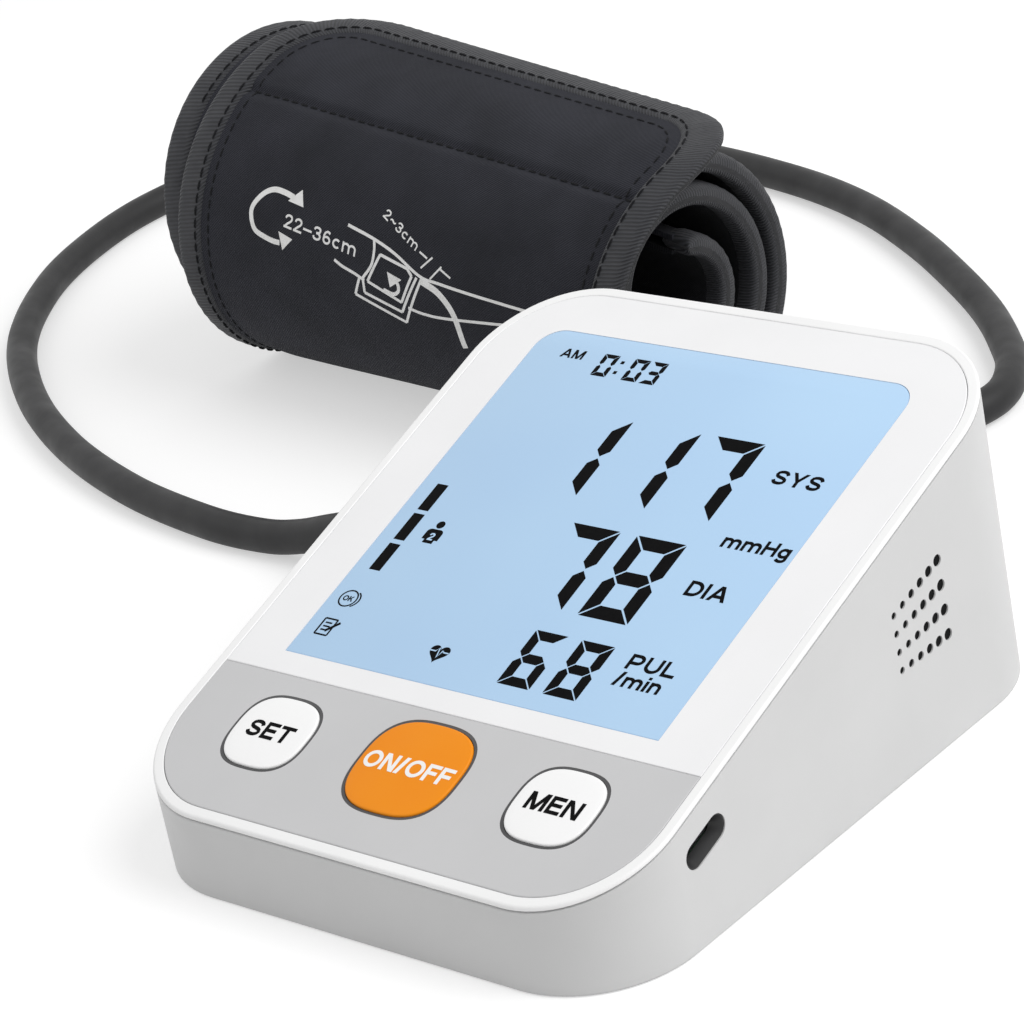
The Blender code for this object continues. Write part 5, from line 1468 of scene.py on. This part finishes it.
def stitch_row(name, path):
    """Thread stitches along a path: each a short spindle, sunk at its ends, none where the roll rests."""
    place, way = evenly(path, STITCH_STEP)
    clear = place[:, 2] > STITCH_FLOOR
    place = place[clear]
    way = way[clear]
    from_axis = place - ROLL_CENTRE
    from_axis -= (from_axis @ ALONG)[:, None] * ALONG
    out = unit(from_axis - (from_axis * way).sum(axis=1, keepdims=True) * way)
    side = np.cross(way, out)
    share = np.linspace(-1, 1, STITCH_RINGS)
    thick = STITCH_RADIUS * np.sqrt(np.maximum(1 - share**4, 0.04))
    sink = -STITCH_SINK * share**4
    angle = whole_turn(STITCH_SIDES)
    length = share * STITCH_LENGTH / 2
    middle = place[:, None] + way[:, None] * length[:, None] + out[:, None] * sink[:, None]
    spoke = out[:, None] * np.cos(angle)[:, None] + side[:, None] * np.sin(angle)[:, None]
    points = middle[:, :, None] + spoke[:, None] * thick[:, None, None]
    size = STITCH_RINGS * STITCH_SIDES
    shift = size * np.arange(len(place))[:, None, None]
    quads = np.array(grid_faces(STITCH_RINGS, STITCH_SIDES, wrap=True)) + shift
    caps = np.array([range(STITCH_SIDES), range(size - STITCH_SIDES, size)]) + shift
    faces = quads.reshape(-1, 4).tolist() + caps.reshape(-1, STITCH_SIDES).tolist()
    row = make_object(name, points, faces, ROUNDED)
    along = np.tile(np.repeat(length, STITCH_SIDES), len(place))
    around = np.tile(angle, STITCH_RINGS * len(place)) * STITCH_RADIUS
    set_flat_map(row.data, np.column_stack([along, around]))
    return place_piece(row, STITCH)


def stitching():
    """Rows on the tape and beside it round the flap, and the seam across the flap."""
    rows = []
    insets = {"cuff_tape_stitches": TAPE_WIDTH - ON_TAPE, "cuff_edge_stitches": TAPE_WIDTH + BESIDE_TAPE}
    for name, inset in insets.items():
        run, across = edge_path(inset)
        shown = turn_at(run) < STITCHED_TURN
        run = run[shown]
        across = across[shown]
        under = TAPE_PROUD if inset < TAPE_WIDTH else swell(run, across)
        rows.append(stitch_row(name, roll(turn_at(run), across, -under - STITCH_PROUD)))
    side = half_width(SEAM_RUN, TAPE_WIDTH + SEAM_CLEAR)
    across = np.linspace(-side, side, 200)
    seam = cloth_surface(across, np.full(len(across), SEAM_RUN), STITCH_PROUD)
    rows.append(stitch_row("cuff_seam_stitches", seam))
    return rows


# Print on the cuff, in millimetres across and up the flat sheet, from the flap's end

PRINT_LINE = 0.7
FINE_LINE = 0.45
CUFF_STROKE = 0.15
LOOP = [(-30.5, -48.5), (-33.5, -48.0), (-37.0, -48.0), (-40.0, -49.5), (-42.5, -52.5), (-42.5, -55.0)]
LOOP += [(-41.0, -57.5), (-38.0, -58.5), (-35.0, -59.0), (-33.0, -59.0)]
LOOP_HEADS = [
    [(-27.0, -50.0), (-32.0, -49.5), (-28.5, -46.5)],
    [(-29.0, -57.5), (-32.0, -60.5), (-33.5, -56.5)],
]
ARM_ABOVE = [(-12.5, -51.0), (-4.0, -52.5), (3.0, -54.5), (11.0, -58.0)]
ARM_ABOVE += [(16.5, -58.5), (26.5, -59.0), (45.0, -59.5)]
ARM_BELOW = [(-15.5, -59.5), (-13.0, -60.5), (-9.0, -61.5), (-6.0, -62.5)]
ARM_BEYOND = [(7.5, -66.5), (12.5, -67.0), (20.5, -66.5), (45.5, -63.0)]
BAND_EDGE = [(-4.0, -52.5), (-3.5, -55.0), (-4.0, -58.5), (-6.5, -62.0)]
BAND_FOLD = [(-7.5, -62.0), (-9.0, -66.5), (6.5, -70.5), (11.5, -58.5)]
BAND_LINING = [(-6.5, -62.0), (-6.0, -65.5), (5.5, -68.0), (10.0, -58.5)]
BAND_PATCH = [(-1.5, -55.5), (-5.0, -62.5), (5.5, -65.5), (8.5, -58.5), (7.0, -57.0), (-1.5, -55.5)]
BAND_ARROW = [(0.0, -63.5), (3.0, -64.0), (4.5, -63.0), (4.5, -61.5), (3.5, -60.5)]
ARROW_HEAD = [(1.0, -59.0), (5.5, -60.0), (2.0, -62.5)]
TUBE_MARK = [(11.5, -59.0), (17.0, -61.0), (21.5, -65.5), (24.0, -73.5)]
BOLD_LINES = [(LOOP, 60, 1.2), (BAND_ARROW, 20, 0.9), (TUBE_MARK, 40, 1.6)]
ELBOW_TICKS = [[(10.0, -52.5), (12.5, -53.5)], [(14.0, -53.0), (11.0, -56.0)]]
ELBOW_TICKS += [[(17.0, -54.5), (14.0, -58.0)], [(16.5, -55.0), (20.0, -56.5)]]
CUFF_WORDS = [("22–36cm", (-20.5, -54.8), 3.3, 23.3, -5.7), ("2~3cm", (3.3, -48.9), 2.3, 13.1, -24.4)]


def lay_on_cuff(across, up, out):
    return cloth_surface(across * MM, -up * MM, out)


def cuff_print():
    """Signs for winding and wearing: a loop with two arrows, an arm with band and tube, and two words."""
    lines = [(smooth_curve(path, count), width) for path, count, width in BOLD_LINES]
    lines += [(smooth_curve(path, 60), PRINT_LINE) for path in (ARM_ABOVE, ARM_BELOW, ARM_BEYOND, BAND_EDGE)]
    for path in (BAND_FOLD, BAND_LINING, BAND_PATCH):
        lines += [(along_sides(side), PRINT_LINE) for side in zip(path, path[1:])]
    lines += [(along_sides(tick), FINE_LINE) for tick in ELBOW_TICKS]
    shapes = []
    for index, (path, width) in enumerate(lines):
        shapes.append(drawn(path, width, lay_on_cuff, PRINT_THICK * over_last(index)))
    for head in (*LOOP_HEADS, ARROW_HEAD):
        shapes.append(filled(head, lay_on_cuff, 1.4 * PRINT_THICK))
    for *letters, tilt in CUFF_WORDS:
        shapes += word(*letters, lay_on_cuff, PRINT_THICK, math.radians(tilt), CUFF_STROKE)
    place_piece(marks("cuff_print", shapes), CUFF_INK)


# Air line: port on the cuff, hose, plug and jack

HOSE_RADIUS = 3.75 * MM
PORT_Z = 3.85 * MM
PORT_LENGTH = 9.0 * MM
PLUG_FACE = -60.6 * MM
PLUG_GRIP = (5.5 * MM, 15.0 * MM)
PLUG_SLEEVE = (4.6 * MM, 8.0 * MM)
PLUG_NOSE = (2.2 * MM, 11.5 * MM)
PLUG_RIBS = 3
PLUG_TIP = 0.7
PLUG_RIM = 0.84
PLUG_WAIST = 0.88
SLEEVE_TAPER = (0.9, 0.86)
HOSE_FLOOR_MM = [
    (-55, 123.2), (-43, 122.5), (-27.8, 126.6), (-16.6, 137.8), (-12.5, 152), (-17.5, 165.5), (-27, 177),
    (-41, 190.5), (-59, 204.5), (-80, 219), (-105, 233), (-133, 243), (-170, 250), (-210, 251), (-248, 244),
    (-277, 229), (-295, 207), (-301, 182), (-298, 157), (-288, 131), (-268, 103), (-240, 79.5), (-208, 61.5),
    (-175, 49.5), (-146, 43.8),
]
HOSE_CLIMB_MM = [(-128, 43, 0.03), (-117, 43, 0.22), (-105, 43, 0.62), (-94, 43, 0.96), (-88.5, 43, 1.0)]
HOSE_END_MM = (-83.9, 43)
HOSE_STEPS = 520
HOSE_SIDES = 28
ON_AXIS = 0.02 * MM
JACK_PROFILE = [(0, 11.1), (2.5, 11.1), (2.5, -1.1), (2.7, -1.3), (5.9, -1.3), (6.15, -1.15)]
JACK_PROFILE += [(6.2, -0.9), (6.2, -0.3), (4.5, -0.3), (4.5, 13.1), (4.2, 13.4), (0, 13.4)]
PORT_PROFILE = [(0, 0.0), (3.55, 0.0), (3.6, 0.1), (3.6, 1.2), (3.35, 1.6), (3.1, 5.0)]
PORT_PROFILE += [(3.0, 8.9), (2.9, 9.0), (0, 9.0)]


def in_metres(profile):
    """A profile in millimetres as metres, with a hair's radius where it meets its axis."""
    return [(max(radius * MM, ON_AXIS), place * MM) for radius, place in profile]


def hose_line():
    """The hose's middle: flat on the table from the port, then up to the jack's height."""
    start = np.array([*CUFF_CENTRE, PORT_Z]) + ALONG * (CUFF_LENGTH / 2 + PORT_LENGTH + 2 * LAYER_GAP)
    floor = [(x * MM, y * MM, HOSE_RADIUS) for x, y in HOSE_FLOOR_MM]
    rise = JACK_Z - HOSE_RADIUS
    climb = [(x * MM, y * MM, HOSE_RADIUS + share * rise) for x, y, share in HOSE_CLIMB_MM]
    end = (HOSE_END_MM[0] * MM, HOSE_END_MM[1] * MM, JACK_Z)
    route = smooth_curve([start, *floor, *climb, end], HOSE_STEPS)
    route[:, 2] = np.maximum(route[:, 2], HOSE_RADIUS)
    return route


def air_hose(plug):
    """Round tube along its middle line: each ring square to it, turned level with the table."""
    middle = hose_line()
    way = unit(np.gradient(middle, axis=0))
    side = unit(np.cross(UP, way))
    angle = whole_turn(HOSE_SIDES)[None, :, None]
    spoke = side[:, None] * np.cos(angle) + np.cross(way, side)[:, None] * np.sin(angle)
    hose = loft("air_hose_tube", middle[:, None] + spoke * HOSE_RADIUS, ROUNDED)
    place_piece(hose, HOSE_RUBBER, ["air_hose"], None)
    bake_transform(hose)


def air_plug():
    """Push-in plug: nose, grip with three soft ribs, and a tapering sleeve over the hose."""
    nose_radius, nose_length = PLUG_NOSE
    grip_radius, grip_length = PLUG_GRIP
    sleeve_radius, sleeve_length = PLUG_SLEEVE
    nose = [(ON_AXIS, nose_length), (nose_radius * PLUG_TIP, nose_length)]
    nose += [(nose_radius, nose_length - 1.0 * MM), (nose_radius, 0.0)]
    nose += [(grip_radius * PLUG_RIM, 0.0), (grip_radius * PLUG_WAIST, -0.3 * MM)]
    along = np.linspace(0.4 * MM, grip_length - 0.4 * MM, 60)
    wave = ease(np.cos(2 * math.pi * PLUG_RIBS * (along / grip_length - 0.5 / PLUG_RIBS)), -0.6, 0.4)
    grip = list(zip(grip_radius * (PLUG_WAIST + (1 - PLUG_WAIST) * wave), -along))
    tail = -grip_length - sleeve_length
    low, end = (sleeve_radius * share for share in SLEEVE_TAPER)
    sleeve = [(sleeve_radius, -grip_length - 0.6 * MM), (low, tail + 0.5 * MM), (end, tail), (ON_AXIS, tail)]
    plug = turned("air_plug_body", nose + grip + sleeve, (PLUG_FACE, JACK_Y, JACK_Z), (1, 0, 0))
    return place_piece(plug, BLACK_ABS, ["air_plug"], "air_plug")


def air_jack():
    """Socket in the left wall: a rounded flange round the bore that takes the plug's nose."""
    jack = turned("air_jack_socket", in_metres(JACK_PROFILE), (CASE_LOW[0], JACK_Y, JACK_Z), (1, 0, 0))
    place_piece(jack, WHITE_ABS, ["air_jack"])


def cuff_port():
    """Moulded nipple on the cuff's right edge, a collar and a taper towards the hose."""
    seat = np.array([*CUFF_CENTRE, PORT_Z]) + ALONG * (CUFF_LENGTH / 2 + LAYER_GAP)
    port = turned("cuff_air_port", in_metres(PORT_PROFILE), seat, tuple(ALONG))
    place_piece(port, BLACK_ABS, ["cuff_port"])


# Underside

FOOT_PROFILE = [(0, 0.95), (5.0, 0.95), (5.0, 0.25), (4.75, 0.0), (4.0, 0.0), (3.8, 0.25), (3.4, 0.25)]
FOOT_PROFILE += [(3.2, 0.0), (2.0, 0.0), (1.8, 0.25), (1.4, 0.25), (1.2, 0.0), (0, 0.0)]
DOOR_CORNER = 1.5 * MM
DOOR_EDGE = 0.35 * MM
THUMB_BACK = 9 * MM
THUMB_BOWL = [(7.0, -1.0), (7.0, 0.0), (6.6, 0.5), (5.6, 0.75), (0, 0.9)]
RIDGES = 4
RIDGE_STEP = 2.2
RIDGE_REACH = 6.0
RIDGE_HEIGHT = 0.75 * MM
RIDGE_RADIUS = 0.4
RIDGE_TIP = 0.05


def rubber_feet():
    """Discs in the floor's pockets, with a rounded edge and two shallow rings."""
    for index, middle in enumerate(foot_middles(), 1):
        foot = turned(f"rubber_foot_{index}", in_metres(FOOT_PROFILE), (*middle, 0), (0, 0, 1), 48)
        place_piece(foot, FOOT_RUBBER, [f"foot_{index}"])


def door_outline(low, high, radius, steps=8):
    """Rounded rectangle between two corners."""
    middle = (low + high) / 2
    half = (high - low) / 2
    corner = compass(np.linspace(0, math.pi / 2, steps)) * radius + half - radius
    turns = [corner, corner[::-1] * [-1, 1], -corner, corner[::-1] * [1, -1]]
    return np.concatenate(turns) + middle


def battery_door():
    """Flat door with rounded edges and a ridged thumb recess near its free edge."""
    low, high = (corner[:2] for corner in np.array(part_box("battery_door")))
    rings = [at_height(door_outline(low, high, DOOR_CORNER), FLOOR)]
    for inset, drop in quarter_round(DOOR_EDGE, 4):
        rings.append(at_height(door_outline(low + inset, high - inset, DOOR_CORNER - inset), drop))
    door = loft("battery_door_plate", rings)
    thumb = np.array([(low[0] + high[0]) / 2, high[1] - THUMB_BACK])
    cut(door, [turned("cut_thumb", in_metres(THUMB_BOWL), (*thumb, 0), (0, 0, 1), 48)])
    even_shading(door)
    place_piece(door, GREY_ABS, ["battery_door"], "battery_door")
    for index in range(RIDGES):
        from_middle = (index - (RIDGES - 1) / 2) * RIDGE_STEP
        reach = math.sqrt(RIDGE_REACH**2 - from_middle**2)
        straight = reach - RIDGE_RADIUS
        ridge = [(RIDGE_TIP, -reach), (RIDGE_RADIUS, -straight)]
        ridge += [(RIDGE_RADIUS, straight), (RIDGE_TIP, reach)]
        start = (thumb[0], thumb[1] + from_middle * MM, RIDGE_HEIGHT)
        bar = turned(f"battery_door_ridge_{index + 1}", in_metres(ridge), start, (1, 0, 0), 16)
        place_piece(bar, GREY_ABS, body="battery_door")


# Camera: the photograph's viewpoint, from a perspective fit to the console's corners

CAMERA_PLACE = Vector((459.5, -468.8, 357.2)) * MM
CAMERA_RIGHT = Vector((0.75139, 0.63502, -0.17932))
CAMERA_UP = Vector((-0.15143, 0.43044, 0.88983))
CAMERA_LENS = 140.6
SENSOR_WIDTH = 36
NEAREST = 0.05


def add_camera():
    data = bpy.data.cameras.new("photo_camera")
    data.lens = CAMERA_LENS
    data.sensor_width = SENSOR_WIDTH
    data.clip_start = NEAREST
    camera = bpy.data.objects.new("photo_camera", data)
    back = CAMERA_RIGHT.cross(CAMERA_UP)
    turn = Matrix((CAMERA_RIGHT, CAMERA_UP, back)).transposed().to_4x4()
    camera.matrix_world = Matrix.Translation(CAMERA_PLACE) @ turn
    bpy.context.scene.collection.objects.link(camera)
    bpy.context.scene.camera = camera


# Studio: a soft lamp above and to the right, a pale floor and an even white surround

LAMPS = [
    ("key_softbox", (0.75, 0.3, 0.95), 1.0, 9.8),
    ("fill_softbox", (-0.7, -0.5, 0.9), 1.2, 1.5),
]
SURROUND = 0.5
PAPER = "#D2D2D2"
PAPER_GLOW = 0.5
PAPER_FOR_LIGHT = "#E8E8E8"
PAPER_REACH = 6.0
AIM = Vector((-0.05, 0.05, 0.03))


def add_lamps():
    for name, place, size, watts in LAMPS:
        data = bpy.data.lights.new(name, "AREA")
        data.shape = "DISK"
        data.size = size
        data.energy = watts
        lamp = bpy.data.objects.new(name, data)
        lamp.location = place
        lamp.rotation_euler = (Vector(place) - AIM).to_track_quat("Z", "Y").to_euler()
        bpy.context.scene.collection.objects.link(lamp)


def seen_directly(tree):
    """1 for what the camera sees, also in a gloss or through glass, and 0 for light on the object."""
    path = add_node(tree, "ShaderNodeLightPath")
    first = {0: path.outputs["Is Camera Ray"], 1: path.outputs["Is Glossy Ray"]}
    both = add_node(tree, "ShaderNodeMath", first, operation="MAXIMUM")
    all_three = {0: both.outputs[0], 1: path.outputs["Is Transmission Ray"]}
    return add_node(tree, "ShaderNodeMath", all_three, operation="MAXIMUM").outputs[0]


def add_world():
    world = bpy.data.worlds.new("white_studio")
    world.use_nodes = True
    tree = world.node_tree
    limits = {"Value": seen_directly(tree), "To Min": SURROUND, "To Max": 1.0}
    strength = add_node(tree, "ShaderNodeMapRange", limits)
    tree.links.new(strength.outputs["Result"], tree.nodes["Background"].inputs["Strength"])
    tree.nodes["Background"].inputs["Color"].default_value = (1, 1, 1, 1)
    bpy.context.scene.world = world


def add_floor():
    """Pale paper sweep: it takes the shadow, and glows a little for the camera so that it reads white."""
    material = bpy.data.materials.new("white_paper_floor")
    material.use_nodes = True
    tree = material.node_tree
    tree.nodes.clear()
    paper = add_node(tree, "ShaderNodeBsdfDiffuse", {"Color": hex_colour(PAPER)})
    glow = add_node(tree, "ShaderNodeEmission", {"Color": (1, 1, 1, 1), "Strength": PAPER_GLOW})
    lit = add_node(tree, "ShaderNodeAddShader")
    tree.links.new(paper.outputs[0], lit.inputs[0])
    tree.links.new(glow.outputs[0], lit.inputs[1])
    plain = add_node(tree, "ShaderNodeBsdfDiffuse", {"Color": hex_colour(PAPER_FOR_LIGHT)})
    mix = add_node(tree, "ShaderNodeMixShader", {"Fac": seen_directly(tree)})
    tree.links.new(plain.outputs[0], mix.inputs[1])
    tree.links.new(lit.outputs[0], mix.inputs[2])
    out = add_node(tree, "ShaderNodeOutputMaterial")
    tree.links.new(mix.outputs[0], out.inputs["Surface"])
    side = np.array([PAPER_REACH, PAPER_REACH])
    corners = at_height(box_outline(-side, side), 0)
    floor = make_object("studio_floor", corners, [[0, 1, 2, 3]], outward=False)
    floor.data.materials.append(material)


finish_nodes()
lower_case()
face_frame()
face_panel("display_panel_plate", True, [through_face("cut_window", window_outline(PANEL_GAP))],
           WHITE_PANEL, "display_panel")
face_panel("button_panel_plate", False, button_cutters(), GREY_PANEL, "button_panel")
display_lens()
display_digits()
display_icons()
display_words()
buttons()
keypad()
speaker_mesh()
slot_bezel()
cloth, lining, bladder, hook = cuff_layers()
tape = binding()
rows = stitching()
cuff_print()
cuff_port()
air_jack()
air_hose(air_plug())
rubber_feet()
battery_door()

add_camera()
add_lamps()
add_world()
add_floor()
bpy.context.scene.view_settings.view_transform = "Standard"
